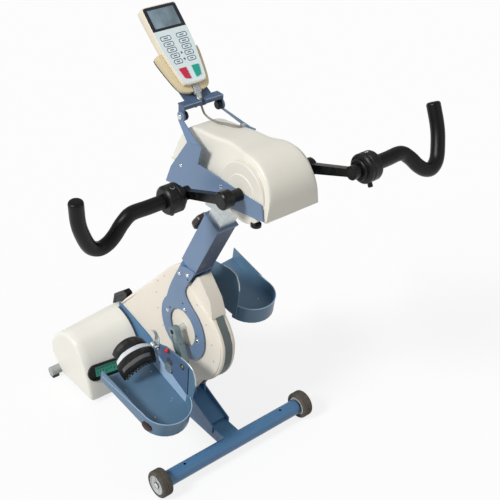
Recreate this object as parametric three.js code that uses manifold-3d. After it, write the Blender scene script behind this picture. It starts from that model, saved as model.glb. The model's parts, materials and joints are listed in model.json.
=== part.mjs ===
// A floor-standing motorised trainer for legs and arms: a wheeled base, a leg unit with two foot
// shells, a leaning column, and an arm unit with two grips and a handset.
// Millimetres. X is the user's right, -Y faces the user, +Z is up and the floor is z = 0.
import * as THREE from 'three';
import { mergeVertices } from 'three/addons/utils/BufferGeometryUtils.js';
import Module from 'manifold-3d';

const wasm = await Module();
wasm.setup();

const degree = Math.PI / 180;
const gap = 0.3;          // clearance between pieces that touch
const overrun = 3;        // how far a cut passes the face it opens
const roundSides = 28;    // sides of a large round piece
const midSides = 24;      // sides of a knob, an ear or a disc
const pinSides = 16;      // sides of a small round piece
const taperShare = 0.8;   // how far a tapered end draws in
const domeShare = 0.7;    // how far a domed end draws in

// Where the whole model stands, so that its box is centred on the origin
const originShift = 141.76;

// Front crossbar, wheels and the tube that slides in the base
const crossbarY = -328.4;
const crossbarRadius = 22.5;
const crossbarHalf = 237;
const tubeWall = 2.5;
const capHoleRadius = 4;
const capHoleX = 175;
const slideHalfWidth = 26.7;
const slideLow = 20;
const slideHigh = 60;
const slideRear = 60;
const wheelRadius = 40;
const wheelWidth = 34;
const rimRadius = 28.5;
const hubWidth = 22;
const hubRecess = 4;
const tyreCorner = 5;
const wheelPinRadius = 6;
const wheelHeadRadius = 10;
const wheelHeadLength = 4;
const wheelPlugLength = 22;
const wheelSpacer = 2.4;

// Base frame: two walls, a sunk web, and the cheeks that carry the leg unit
const frameInner = 27.4;
const frameOuter = 31.3;
const frameLow = 32;
const frameRear = 200;
const frameFootY = 84;
const webDepth = 13;
const webThickness = 3;
const beltSteps = 30;
const pulleySteps = 8;
const wallTop = [[-267, 70], [-190, 101], [46, 203], [89, 212], [149, 225], [frameRear, 233]];
const noseY = -258;
const noseHigh = 44;
const cheekInner = 14;
const cheekOuter = 18;
const cheekRadius = 96;
const cheekFoot = [-172, 110];
const cheekTail = [[60, 190], [20, 178]];
const cheekFrontAngles = [-60, 40];
const cheekRearAngles = [110, 215];
const cheekSteps = 7;

// Rear housing, its plate, cross tube, feet and fittings
const housingHalf = 218;
const housingEdge = 7;
const housingInner = 36;
const housingWall = 3;
const housingEnd = [[81, 15], [93, 68], [119, 140], [154, 182], [180, 191], [233, 188], [291, 132],
  [306, 96], [303, 63], [245, 12]];
const housingMiddle = [[75, 15], [82, 80], [90, 152], [122, 193], [156, 214], [212, 224], [286, 160],
  [316, 110], [316, 66], [252, 12]];
const floorPlateHigh = 17;
const floorPlateThickness = 3;
const crossTubeY = 265;
const crossTubeZ = 20.5;
const crossTubeRadius = 14.5;
const crossTubeHalf = 248;
const footLength = 22;
const footHalfWidth = 11;
const footInset = 2;
const slotCentre = [-140, 92, 99];
const slotYaw = -7;
const slotPitch = -15;
const slotHalfLength = 72;
const slotRadius = 26;
const slotRim = 5;
const slotDepth = 16;
const slotRecess = 6;
const slotProud = 3;
const labelThickness = 1.2;
const inletCentre = [140, 309, 78];
const inletYaw = -3.8;
const inletFlange = [50, 26, 3];
const inletBody = [28, 21, 26];
const inletRecess = [22, 15, 14];
const gripHalf = 11;
const gripOutline = [[186, 231.5], [187, 262], [204, 266], [259, 221], [270, 175], [258, 185], [247, 214],
  [201, 250], [199, 233.5]];

// Leg unit
const legY = -125.5;
const legZ = 343;
const coverOuter = 27;
const coverInner = 13;
const coverWall = 2.5;
const coverRadius = 166;
const coverTail = [[-279, 393], [-261, 418], [-239, 440], [-149, 494], [-105, 546], [-58, 512], [14, 430],
  [197, 237], [197, 224]];
const coverSkirtY = -150;
const coverAngles = [-62, 8];
const coverSteps = 7;
const coverMouth = [[-60, 178], [60, 200], [195, 232]];
const drumRadius = 143;
const drumHalf = 12;
const drumRim = 10;
const drumWeb = 4;
const drumRoomGap = 3;
const legAxleRadius = 10;
const motorPulleyRadius = 22;
const motorY = 160;
const motorZ = 150;
const beltThickness = 3;
const beltHalf = 9;
const beltRoomGap = 2;
const legMotorRadius = 34;
const legMotorLength = 96;
const motorShaftRadius = 8;
const hoodBase = 24;
const hoodTop = 20.3;
const hoodWall = 2.5;
const stripInset = 2;
const stripEndY = -190;
const stripLapShare = 0.12;
// Hood corners: rear low, front low, front high, top front, top rear
const hoodProfile = [[-149, 496], [-245, 438], [-229.5, 488], [-181, 540], [-168, 534]];
const yokeInner = 30.4;
const yokeThickness = 3.4;
const yokeRadius = 99;
const yokeHole = 57;
const yokeNeck = [[-157, 431], [-133, 467], [-140, 491], [-175, 550], [-177, 558], [-117, 552], [-99, 521],
  [-39, 400]];
const yokeBolts = [[-148, 534], [-112, 520], [-58, 363], [-136, 411], [-195, 338]];
const postRadius = 8;
const boltHeadRadius = 7;
const boltHeadHeight = 4;

// Leg cranks and foot shells
const crankInner = 50;
const crankThickness = 20;
const crankRadius = 90;
const crankAngle = 27;      // from straight down, toward the user, for the left crank
const crankWidth = 30;
const crankHubLength = 16;
const crankPanelDepth = 2;
const crankPanelInset = 5;
const crankSteps = 8;
const pedalPinRadius = 8;
const pedalHeadRadius = 16;
const pedalHeadLength = 4;
const plateX = 106;
const sheet = 3;
const soleDrop = 57;
const leftPitch = 12.3;
const rightPitch = 6.8;
const toeOuter = [266, 98];
const toeInner = [plateX, 84];
const heelX = 179;
const heelU = -84;
const heelRadius = 73;
const rimAtToe = 18;
const rimAtHeel = 38;
const heelSkirt = 14;
const heelSkirtFrom = -95;
const heelSteps = 14;
const toeRoom = 26;
const plateOutline = [[84, 0], [64, 94], [48, 105], [28, 118], [-4, 127], [-62, 142], [-90, 138], [-104, 120],
  [-112, 87], [-112, 0]];
const buttonPlace = [16, 116];
const buttonRadius = 6;
const buttonLength = 8;
const buttonCollar = 2;
const buttonStemRadius = 3;
const buttonTravel = 3;
const hingePlace = [66, 92];
const hingePinRadius = 2.5;
const hingeLength = 26;
const hingeReach = 13;
const cuffThickness = 6;
// The cuff's three sections, toe end first: how far along the foot, then points of each arch
const cuffAlong = [46, 68, 86];
const cuffToe = [[119, 50], [133, 53], [156, 58], [176, 55], [190, 46], [211, 38], [223, 22]];
const cuffMiddle = [[118, 77], [134, 84], [155, 91], [177, 92], [197, 89], [216, 79], [236, 56]];
const cuffHeel = [[116, 70], [132, 85], [152, 96], [171, 100], [191, 97], [213, 89], [228, 62]];
const padFrom = 86.3;
const padLength = 26;
const padThickness = 28;
const padArch = [[125, 70], [140, 86], [158, 98], [180, 104], [200, 100], [214, 88], [223, 69]];
const padSteps = 8;
const padSides = 14;
const padSquareShare = 0.65;
const padEndShare = 0.45;
const padTipShare = 0.04;

// Column
const lean = 27;
const columnWidth = 60;
const columnWall = 3;
const columnFrontTop = [-267.4, 734.6];
const columnLength = 216;
const spigotUp = 60;
const spigotDown = 42;
const collarThickness = 3;
const collarHeight = 6;
const mastWidth = 50;
const mastWall = 2.5;
const mastInside = 112;
const mastOutside = 136;
const knobRadius = 29;
const knobThickness = 20;
const knobStandoff = 10;
const knobStemRadius = 5;
const knobFromTop = 78;
const knobLobes = 7;
const knobLobeDepth = 2.5;
const lobeSides = 6;
const knobSkirtShare = 0.75;

// Arm unit
const armY = -404;
const armZ = 929;
const armHalf = 80;
const armTopHalf = 64;
const armRadius = 90;
const armDrop = 36;
const armWall = 3;
// Stations of the tail: behind the axis, half width at its top and foot, top and foot over the axis
const armRear = [[9, 68, 78, 83, -36], [54, 50, 74, 86, -38], [104, 48, 65, 82, -40], [154, 48, 60, 72, -43],
  [189, 47, 57, 68, -45], [239, 45, 54, 60, -50], [269, 44, 52, 36, -53], [292, 42, 50, -4, -55],
  [314, 40, 47, -43, -57]];
const shoulder = 9;
const bossRadius = 45;
const bossHigh = 3;
const armPlateInner = 80.4;
const armPlateThickness = 3.2;
// Side plate, its upright's foot and the edge of its ear, from the axis
const armPlate = [[-73, 5], [-84, -33], [33, -54], [285, -99], [264, -48], [200, 44], [200, 49], [144, 55],
  [156, 5]];
const earX = 60.4;
const earThickness = 3;
const earRadius = 13;
const earFoot = [[200, 47], [148, 51]];
const earHead = [[10, -12], [-12, -9]];
const armAxleRadius = 12;
const crossHigh = 36;
const crossDeep = 40;
const platformThickness = 4;
const platformAhead = 58;
const armMotorHalf = 46;
const armMotorAhead = 48;
const armMotorBehind = 52;
const armMotorAbove = 47;
const flangeDepth = 16;
const flangeLength = 30;
const adjusterStem = 4.5;
const adjusterRadius = 13;
const adjusterLength = 22;
const adjusterDisc = 8;
const adjusterAhead = 48;

// Arm cranks, clamps and grips
const sleeveRadius = 15;
const sleeveEnd = 112;
const headRadius = 22;
const headEnd = 142;
const armCrankRadius = 158;
const armCrankAngle = 20.5;
const barInner = 116;
const barThickness = 18;
const barWidth = 24;
const barEndRadius = 17;
const clampInner = 138;
const clampOuter = 190;
const clampRadius = 36;
const clampChamfer = 7;
const clampHub = 26;
const clampStep = 10;
const clampPinRadius = 10;
const clampPinLength = 26;
const clampStudRadius = 6;
const clampStudLength = 10;
const gripRadius = 17.8;
const gripPath = [[190.3, 0], [235, 0], [280, 0], [305, -18], [325, -43], [345, -59], [368, -63], [392, -47],
  [410, -8], [420, 30], [424, 80]];
const gripSteps = 24;
const gripEndRings = 3;
const gripSides = 12;
const leftGripTilt = 3;
const rightGripTilt = -28;

// Handset, cradle and bracket
const slope = 42.93;
const slopeOrigin = [35, 1214];
const faceHigh = 13;
const headLow = -17;
const tailLow = -7;
const handsetOutline = [[50, 4], [50, 115], [43, 160], [36, 205], [30, 214]];
const handsetTop = 46;
const screenHalf = 37.5;
const screenFrom = 8;
const screenTo = 60;
const screenDepth = 2;
const keyFrom = 170;
const keyTo = 198;
const keyInner = 8;
const keyOuter = 35;
const keyHigh = 2.2;
const keyPocket = 3.2;
const cradleTop = 117;
const cradleEnd = 232;
const cradleHalfTop = 59;
const cradleHalfEnd = 43;
const cradleRim = 3;
const cradleHeelLow = -9;
const cradleHeadLow = -37;
const cradleNotch = 11;
const fitGap = 0.6;
const plugRadius = 6;
const plugFrom = 214.3;
const plugTo = 251;
const tiltY = -152;
const tiltZ = 1014;
const bracketOuter = 60;
const bracketSheet = 3;
const bracketPlateHalf = 40;
const stripHigh = 11;
const stripDeep = 21;
const plateLap = 12;
const knobBoltRadius = 4;
const sideKnobRadius = 12;
const sideKnobLength = 11;
const boltDomeRadius = 7;
const boltDomeLength = 4;
const cordRadius = 2.6;
const glandRadius = 5;
const glandLength = 10;
const glandFootDepth = 19;
const cordRoute = [[0, -145.5, 1037.4], [1, -150, 1024], [2, -162, 1007], [4, -183, 1001], [7, -210, 1003],
  [11, -237, 1009], [18, -255, 1010], [26, -262, 1008], [31, -263, 1007], [36, -263, 1007]];
const cordSteps = 28;
const cordSides = 8;

// Colours
const blue = { color: 0x7d96b4, roughness: 0.45, metalness: 0.2 };
const steelBlue = { color: 0x466f94, roughness: 0.45, metalness: 0.2 };
const shellBlue = { color: 0x557891, roughness: 0.5, metalness: 0.1 };
const cream = { color: 0xe6dfd0, roughness: 0.5, metalness: 0 };
const white = { color: 0xe9e9e2, roughness: 0.45, metalness: 0 };
const black = { color: 0x141516, roughness: 0.5, metalness: 0 };
const brownBlack = { color: 0x2c2622, roughness: 0.5, metalness: 0 };
const rubber = { color: 0x5f5952, roughness: 0.9, metalness: 0 };
const greyPlastic = { color: 0x9ea3a3, roughness: 0.5, metalness: 0 };
const zinc = { color: 0xb9c0bf, roughness: 0.35, metalness: 0.8 };
const greySteel = { color: 0x6d7a78, roughness: 0.5, metalness: 0.5 };
const drumGreen = { color: 0x4c5753, roughness: 0.7, metalness: 0.1 };
const tan = { color: 0xd8c69a, roughness: 0.5, metalness: 0 };
const red = { color: 0xd3212d, roughness: 0.4, metalness: 0 };
const green = { color: 0x2aa36b, roughness: 0.4, metalness: 0 };
const teal = { color: 0x3f9d86, roughness: 0.5, metalness: 0 };
const glass = { color: 0x5d7383, roughness: 0.2, metalness: 0 };

// Solids: a closed geometry becomes a solid that can be joined and cut
function solidOf(geometry) {
  const bare = new THREE.BufferGeometry();
  bare.setAttribute('position', geometry.getAttribute('position').clone());
  if (geometry.index) bare.setIndex(geometry.index.clone());
  const merged = mergeVertices(bare, gap / 1000);
  const vertProperties = new Float32Array(merged.getAttribute('position').array);
  const triVerts = new Uint32Array(merged.index.array);
  return new wasm.Manifold(new wasm.Mesh({ numProp: 3, vertProperties, triVerts }));
}

function geometryOf(solid) {
  const mesh = solid.getMesh();
  const geometry = new THREE.BufferGeometry();
  geometry.setAttribute('position', new THREE.BufferAttribute(mesh.vertProperties, 3));
  geometry.setIndex(new THREE.BufferAttribute(mesh.triVerts, 1));
  geometry.computeVertexNormals();
  return geometry;
}

function join(first, ...others) {
  return others.reduce((sum, next) => sum.add(next), first);
}

function cut(body, ...tools) {
  return tools.reduce((rest, tool) => rest.subtract(tool), body);
}

function block(low, high) {
  const size = high.map((value, i) => value - low[i]);
  const geometry = new THREE.BoxGeometry(...size);
  geometry.translate(...low.map((value, i) => value + size[i] / 2));
  return solidOf(geometry);
}

// An outline of [y, z] points, drawn along X from one place to the other
function prism(outline, fromX, toX, bevel = 0) {
  const shape = new THREE.Shape(outline.map(([y, z]) => new THREE.Vector2(y, z)));
  const depth = toX - fromX - 2 * bevel;
  const options = { depth, bevelEnabled: bevel > 0, bevelSize: bevel, bevelThickness: bevel,
    bevelOffset: -bevel, bevelSegments: 2, steps: 1, curveSegments: 1 };
  const geometry = new THREE.ExtrudeGeometry(shape, options);
  const axes = new THREE.Matrix4().makeBasis(
    new THREE.Vector3(0, 1, 0), new THREE.Vector3(0, 0, 1), new THREE.Vector3(1, 0, 0));
  geometry.applyMatrix4(axes);
  geometry.translate(fromX + bevel, 0, 0);
  return solidOf(geometry);
}

// An outline of [x, y] points, drawn upward
function slab(outline, low, high) {
  const shape = new THREE.Shape(outline.map(([x, y]) => new THREE.Vector2(x, y)));
  const options = { depth: high - low, bevelEnabled: false, curveSegments: 1 };
  const geometry = new THREE.ExtrudeGeometry(shape, options);
  geometry.translate(0, 0, low);
  return solidOf(geometry);
}

// A profile of [radius, along] points turned about X, through a [y, z] centre
function turned(profile, centre = [0, 0], sides = roundSides) {
  const points = profile.map(([radius, along]) => new THREE.Vector2(radius, along));
  const geometry = new THREE.LatheGeometry(points, sides);
  geometry.rotateZ(-Math.PI / 2);
  geometry.translate(0, ...centre);
  return solidOf(geometry);
}

function rod(radius, fromX, toX, centre = [0, 0], sides = pinSides) {
  return turned([[0, fromX], [radius, fromX], [radius, toX], [0, toX]], centre, sides);
}

// A round bar along Z from one height to another
function post(radius, low, high, x = 0, y = 0, sides = pinSides) {
  const geometry = new THREE.CylinderGeometry(radius, radius, high - low, sides);
  geometry.rotateX(Math.PI / 2);
  geometry.translate(x, y, (low + high) / 2);
  return solidOf(geometry);
}

// Skins a closed body over rings that all have the same number of [x, y, z] points
function loft(rings) {
  const count = rings[0].length;
  const positions = rings.flat(2);
  const index = [];
  for (let r = 0; r < rings.length - 1; r += 1) {
    for (let i = 0; i < count; i += 1) {
      const a = r * count + i;
      const b = r * count + (i + 1) % count;
      index.push(a, b, b + count, a, b + count, a + count);
    }
  }
  const ends = [[rings[0], 0, true], [rings[rings.length - 1], (rings.length - 1) * count, false]];
  for (const [ring, start, flip] of ends) {
    for (const [a, b, c] of capTriangles(ring)) {
      index.push(...(flip ? [start + a, start + c, start + b] : [start + a, start + b, start + c]));
    }
  }
  const geometry = new THREE.BufferGeometry();
  geometry.setAttribute('position', new THREE.Float32BufferAttribute(positions, 3));
  geometry.setIndex(index);
  const solid = solidOf(geometry);
  return solid.volume() < 0 ? solidOf(turnedInsideOut(geometry)) : solid;
}

function turnedInsideOut(geometry) {
  const index = Array.from(geometry.index.array);
  for (let i = 0; i < index.length; i += 3) {
    [index[i + 1], index[i + 2]] = [index[i + 2], index[i + 1]];
  }
  const flipped = geometry.clone();
  flipped.setIndex(index);
  return flipped;
}

// Triangles that fill a flat ring, wound the way the ring runs
function capTriangles(ring) {
  const points = ring.map((point) => new THREE.Vector3(...point));
  const normal = new THREE.Vector3();
  points.forEach((point, i) => {
    const next = points[(i + 1) % points.length];
    normal.add(new THREE.Vector3().crossVectors(point, next));
  });
  normal.normalize();
  const turn = new THREE.Quaternion().setFromUnitVectors(normal, new THREE.Vector3(0, 0, 1));
  const flat = points.map((point) => point.clone().applyQuaternion(turn));
  return THREE.ShapeUtils.triangulateShape(flat.map((point) => new THREE.Vector2(point.x, point.y)), []);
}

// The outline moved inward by a wall on every side; negative moves it outward
function inset(outline, wall) {
  const area = outline.reduce((sum, [x, y], i) => {
    const [nx, ny] = outline[(i + 1) % outline.length];
    return sum + x * ny - nx * y;
  }, 0);
  const side = Math.sign(area);
  return outline.map((point, i) => {
    const before = outline[(i + outline.length - 1) % outline.length];
    const after = outline[(i + 1) % outline.length];
    const a = new THREE.Vector2(point[0] - before[0], point[1] - before[1]).normalize();
    const b = new THREE.Vector2(after[0] - point[0], after[1] - point[1]).normalize();
    const na = new THREE.Vector2(-a.y * side, a.x * side);
    const nb = new THREE.Vector2(-b.y * side, b.x * side);
    const middle = na.clone().add(nb).normalize();
    const reach = wall / Math.max(middle.dot(na), 1 / 4);
    return [point[0] + middle.x * reach, point[1] + middle.y * reach];
  });
}

// Points on a circle, from one angle to another in degrees; 0 faces the user, 90 is up
function arc([y, z], radius, from, to, steps) {
  return Array.from({ length: steps + 1 }, (_, i) => {
    const angle = (from + ((to - from) * i) / steps) * degree;
    return [y - radius * Math.cos(angle), z + radius * Math.sin(angle)];
  });
}

function ring(centre, radius, steps = roundSides) {
  return arc(centre, radius, 0, 360 * (1 - 1 / steps), steps - 1);
}

function circleShape(radius, steps) {
  return new THREE.Shape(ring([0, 0], radius, steps).map(([x, y]) => new THREE.Vector2(x, y)));
}

function mirrored(solid) {
  return solid.mirror([1, 0, 0]);
}

function shifted(solid, x, y, z) {
  return solid.translate([x, y, z]);
}

const trainer = new THREE.Group();
trainer.position.y = originShift;

function add(group, name, finish, solid) {
  const mesh = new THREE.Mesh(geometryOf(solid), new THREE.MeshStandardMaterial(finish));
  mesh.name = name;
  group.add(mesh);
}

function groupAt(parent, x, y, z, turnX = 0, turnZ = 0) {
  const group = new THREE.Group();
  group.position.set(x, y, z);
  group.rotation.set(turnX * degree, 0, turnZ * degree, 'ZYX');
  parent.add(group);
  return group;
}

const sides = [['left', -1], ['right', 1]];
const onSide = (solid, side) => (side < 0 ? mirrored(solid) : solid);

// Front crossbar with the sliding tube welded behind it
function crossbar() {
  const centre = [crossbarY, wheelRadius];
  const outer = rod(crossbarRadius, -crossbarHalf, crossbarHalf, centre, roundSides);
  const past = crossbarHalf + overrun;
  const bore = rod(crossbarRadius - tubeWall, -past, past, centre, roundSides);
  const tube = block([-slideHalfWidth, crossbarY, slideLow], [slideHalfWidth, slideRear, slideHigh]);
  const inside = block(
    [-slideHalfWidth + tubeWall, crossbarY + crossbarRadius, slideLow + tubeWall],
    [slideHalfWidth - tubeWall, slideRear + overrun, slideHigh - tubeWall]);
  const holes = [-capHoleX, capHoleX].map(
    (x) => post(capHoleRadius, wheelRadius, wheelRadius + crossbarRadius + overrun, x, crossbarY));
  return cut(join(outer, cut(tube, inside)), bore, ...holes);
}

const wheelInner = crossbarHalf + wheelSpacer;
const wheelOuter = wheelInner + wheelWidth;

function tyre() {
  const side = wheelOuter - wheelInner;
  const profile = [[rimRadius + gap, wheelInner], [wheelRadius - tyreCorner, wheelInner],
    [wheelRadius, wheelInner + tyreCorner], [wheelRadius, wheelInner + side - tyreCorner],
    [wheelRadius - tyreCorner, wheelOuter], [rimRadius + gap, wheelOuter], [rimRadius + gap, wheelInner]];
  return turned(profile, [crossbarY, wheelRadius]);
}

function hub() {
  const middle = (wheelInner + wheelOuter) / 2;
  const low = middle - hubWidth / 2;
  const high = middle + hubWidth / 2;
  const bore = wheelPinRadius + gap;
  const profile = [[bore, low], [rimRadius, wheelInner + gap], [rimRadius, wheelOuter - gap],
    [rimRadius - hubRecess, wheelOuter - gap], [rimRadius - hubRecess, high], [bore, high], [bore, low]];
  return turned(profile, [crossbarY, wheelRadius]);
}

function wheelPin() {
  const plug = crossbarRadius - tubeWall - gap;
  const hubFace = (wheelInner + wheelOuter) / 2 + hubWidth / 2 + gap;
  const start = crossbarHalf - wheelPlugLength;
  const profile = [[0, start], [plug, start],
    [plug, crossbarHalf + gap], [crossbarRadius, crossbarHalf + gap],
    [crossbarRadius, wheelInner - gap], [wheelPinRadius, wheelInner - gap], [wheelPinRadius, hubFace],
    [wheelHeadRadius, hubFace], [wheelHeadRadius, hubFace + wheelHeadLength], [0, hubFace + wheelHeadLength]];
  return turned(profile, [crossbarY, wheelRadius]);
}

add(trainer, 'front_crossbar', steelBlue, crossbar());
for (const [label, side] of sides) {
  add(trainer, `wheel_${label}_tyre`, rubber, onSide(tyre(), side));
  add(trainer, `wheel_${label}_hub`, greyPlastic, onSide(hub(), side));
  add(trainer, `wheel_${label}_axle`, black, onSide(wheelPin(), side));
}

// The column's own line: distances along it run up from its foot, across it from the front face
const up = [-Math.sin(lean * degree), Math.cos(lean * degree)];
const back = [Math.cos(lean * degree), Math.sin(lean * degree)];
const columnFoot = [columnFrontTop[0] - up[0] * columnLength, columnFrontTop[1] - up[1] * columnLength];
const onColumn = (along, across) => [
  columnFoot[0] + up[0] * along + back[0] * across,
  columnFoot[1] + up[1] * along + back[1] * across];

// A bar with the column's lean: its half width in X, its span along and its inset from each face
function columnBar(half, from, to, insetBy) {
  const near = insetBy;
  const far = columnWidth - insetBy;
  const corners = [onColumn(from, near), onColumn(from, far), onColumn(to, far), onColumn(to, near)];
  return prism(corners, -half, half);
}

const spigotInset = columnWall + gap;
const spigotHalf = columnWidth / 2 - spigotInset;
const legCentre = [legY, legZ];

// The belt wraps the drum and the motor pulley and runs straight between them
function beltLoop(extra) {
  const from = new THREE.Vector2(legY, legZ);
  const to = new THREE.Vector2(motorY, motorZ);
  const heading = Math.atan2(to.y - from.y, from.x - to.x) / degree;
  const wrap = Math.acos((drumRadius - motorPulleyRadius) / from.distanceTo(to)) / degree;
  const bulge = 1 / Math.cos(((180 - wrap) * degree) / beltSteps);
  const clear = (drumRadius + gap) * (bulge - 1) + gap + extra;
  return [
    ...arc(legCentre, drumRadius + clear, heading + wrap, heading + 360 - wrap, beltSteps),
    ...arc([motorY, motorZ], motorPulleyRadius + clear, heading - wrap, heading + wrap, pulleySteps)];
}

// Wall outline: the top edge, then down the rear and back along the floor side
function wallOutline() {
  const seat = floorPlateHigh + gap;
  return [
    ...wallTop,
    [frameRear, seat],
    [frameFootY, seat],
    [frameFootY - webDepth, frameLow],
    [noseY, frameLow],
    [wallTop[0][0], noseHigh]];
}

function webOutline() {
  const top = wallTop.slice(1).map(([y, z]) => [y, z - webDepth]);
  const nose = [wallTop[0][0] + webDepth, wallTop[0][1] - webThickness];
  const high = [nose, ...top];
  const low = high.map(([y, z]) => [y, z - webThickness]).reverse();
  return [...high, ...low];
}

// The cheeks stand in the frame, carry the leg axle and hold the column's spigot
function cheekOutline() {
  const crown = [onColumn(-spigotDown, spigotInset), onColumn(-spigotDown, columnWidth - spigotInset)];
  return [
    cheekFoot,
    ...arc(legCentre, cheekRadius, ...cheekFrontAngles, cheekSteps),
    ...crown,
    ...arc(legCentre, cheekRadius, ...cheekRearAngles, cheekSteps),
    ...cheekTail];
}

function baseFrame() {
  const wall = prism(wallOutline(), frameInner, frameOuter);
  const webHalf = (frameInner + frameOuter) / 2;
  const web = prism(webOutline(), -webHalf, webHalf);
  const cheek = prism(cheekOutline(), cheekInner, cheekOuter);
  const spigot = columnBar(spigotHalf, -spigotDown, spigotUp, spigotInset);
  const posts = yokeBolts.map((centre) => rod(postRadius, cheekOuter - gap, yokeInner - gap, centre));
  const half = join(wall, cheek, ...posts);
  const axleHole = rod(legAxleRadius + gap, -frameOuter, frameOuter, legCentre, pinSides);
  const drumRoom = prism(ring(legCentre, drumRadius + drumRoomGap), -cheekInner + gap, cheekInner - gap);
  const shaftHole = rod(motorShaftRadius + gap, -frameOuter, frameOuter, [motorY, motorZ], pinSides);
  const beltRoomHalf = beltHalf + beltRoomGap;
  const beltRoom = prism(beltLoop(beltThickness + beltRoomGap), -beltRoomHalf, beltRoomHalf);
  const slideRoom = block(
    [-slideHalfWidth - gap, wallTop[0][0] - overrun, slideLow],
    [slideHalfWidth + gap, slideRear + overrun, slideHigh + gap]);
  const whole = join(half, mirrored(half), web, cut(spigot, drumRoom));
  return cut(whole, axleHole, shaftHole, beltRoom, slideRoom);
}

add(trainer, 'base_frame', steelBlue, baseFrame());

// Rear housing: a tapered shell on each side of the base frame, joined behind it, open below
function halfHousing(wall) {
  const end = inset(housingEnd, wall);
  const middle = inset(housingMiddle, wall);
  const soft = inset(housingEnd, housingEdge + wall);
  const rings = [
    middle.map(([y, z]) => [0, y, z]),
    middle.map(([y, z]) => [housingInner, y, z]),
    end.map(([y, z]) => [housingHalf - housingEdge, y, z]),
    soft.map(([y, z]) => [housingHalf - wall, y, z])];
  return loft(rings);
}

const slotGroup = groupAt(trainer, ...slotCentre, slotPitch, slotYaw);
const inletGroup = groupAt(trainer, ...inletCentre, 0, inletYaw);

function placedIn(group, solid) {
  const geometry = geometryOf(solid);
  group.updateMatrix();
  geometry.applyMatrix4(group.matrix);
  return solidOf(geometry);
}

// A flat oval along X, drawn along Y
function oval(half, radius, front, rear) {
  const steps = roundSides / 2;
  const left = arc([-half + radius, 0], radius, -90, 90, steps);
  const right = arc([half - radius, 0], radius, 90, 270, steps);
  const geometry = geometryOf(slab([...left, ...right], -rear, -front));
  geometry.rotateX(Math.PI / 2);
  return solidOf(geometry);
}

function slotBezel() {
  const body = oval(slotHalfLength, slotRadius, -slotProud, slotDepth);
  const recess = oval(slotHalfLength - slotRim, slotRadius - slotRim, -slotProud - overrun, slotRecess);
  return cut(body, recess);
}

function slotLabel() {
  const inside = slotRim + gap;
  const rear = slotRecess - gap;
  return oval(slotHalfLength - inside, slotRadius - inside, rear - labelThickness, rear);
}

function inlet() {
  const [flangeX, flangeZ, flangeY] = inletFlange;
  const [bodyX, bodyZ, bodyY] = inletBody;
  const [holeX, holeZ, holeY] = inletRecess;
  const flange = block([-flangeX / 2, gap * 2, -flangeZ / 2], [flangeX / 2, flangeY, flangeZ / 2]);
  const body = block([-bodyX / 2, flangeY - bodyY, -bodyZ / 2], [bodyX / 2, flangeY, bodyZ / 2]);
  const recess = block([-holeX / 2, flangeY - holeY, -holeZ / 2], [holeX / 2, flangeY + overrun, holeZ / 2]);
  return cut(join(flange, body), recess);
}

function rodY(radius, from, to, x, z, turns = pinSides) {
  const geometry = new THREE.CylinderGeometry(radius, radius, to - from, turns);
  geometry.translate(x, (from + to) / 2, z);
  return solidOf(geometry);
}

function rearHousing() {
  const outer = join(halfHousing(0), mirrored(halfHousing(0)));
  const inner = join(halfHousing(housingWall), mirrored(halfHousing(housingWall)));
  const low = Math.min(...housingEnd.map(([, z]) => z));
  const mouth = block(
    [-housingHalf + housingEdge, housingEnd[0][0] + housingEdge * 2, low - overrun],
    [housingHalf - housingEdge, crossTubeY, low + housingWall * 3]);
  const room = block(
    [-frameOuter - gap, 0, 0], [frameOuter + gap, frameRear + gap, legZ]);
  const slotRoom = oval(slotHalfLength + gap, slotRadius + gap, -slotDepth * 2, slotDepth + overrun);
  const slot = placedIn(slotGroup, slotRoom);
  const [bodyX, bodyZ, bodyY] = inletBody;
  const port = placedIn(inletGroup, block(
    [-bodyX / 2 - gap, -bodyY, -bodyZ / 2 - gap], [bodyX / 2 + gap, bodyY, bodyZ / 2 + gap]));
  const feet = block(
    [-crossTubeHalf, crossTubeY - crossTubeRadius - gap * 3, -overrun],
    [crossTubeHalf, crossTubeY + crossTubeRadius + gap * 3, crossTubeZ + crossTubeRadius + gap]);
  return cut(outer, inner, mouth, room, slot, port, feet);
}

function floorPlate() {
  const half = housingHalf - housingEdge - gap;
  const front = housingEnd[0][0] + housingEdge * 2 + gap;
  const rear = crossTubeY - crossTubeRadius - gap;
  return block([-half, front, floorPlateHigh - floorPlateThickness], [half, rear, floorPlateHigh]);
}

function rearFoot() {
  const inner = crossTubeHalf - footInset - footLength;
  const body = block(
    [inner, crossTubeY - footHalfWidth, 0],
    [inner + footLength, crossTubeY + footHalfWidth, crossTubeZ - crossTubeRadius / 2]);
  const seat = rod(crossTubeRadius + gap, 0, crossTubeHalf * 2, [crossTubeY, crossTubeZ], roundSides);
  return cut(body, seat);
}

add(trainer, 'rear_housing', white, rearHousing());
add(trainer, 'rear_floor_plate', zinc, floorPlate());
add(trainer, 'rear_cross_tube', greyPlastic,
  rod(crossTubeRadius, -crossTubeHalf, crossTubeHalf, [crossTubeY, crossTubeZ], roundSides));
for (const [label, side] of sides) {
  add(trainer, `rear_foot_${label}`, black, onSide(rearFoot(), side));
}
add(slotGroup, 'slot_bezel', black, slotBezel());
add(slotGroup, 'slot_label', teal, slotLabel());
add(inletGroup, 'mains_inlet', black, inlet());
add(trainer, 'rear_grip', black, prism(gripOutline, -gripHalf, gripHalf));

// Leg unit: two dished covers, the belt drum between them, its axle, motor and hood
function coverOutline() {
  const front = arc(legCentre, coverRadius, ...coverAngles, coverSteps);
  const web = wallTop.slice(2, 5).map(([y, z]) => [y, z - webDepth + gap]).reverse();
  const [low, high] = [wallTop[1], wallTop[2]];
  const share = (coverSkirtY - low[0]) / (high[0] - low[0]);
  const skirt = [coverSkirtY, low[1] + (high[1] - low[1]) * share - webDepth + gap];
  return [...front, ...coverTail, ...web, skirt];
}

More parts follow.
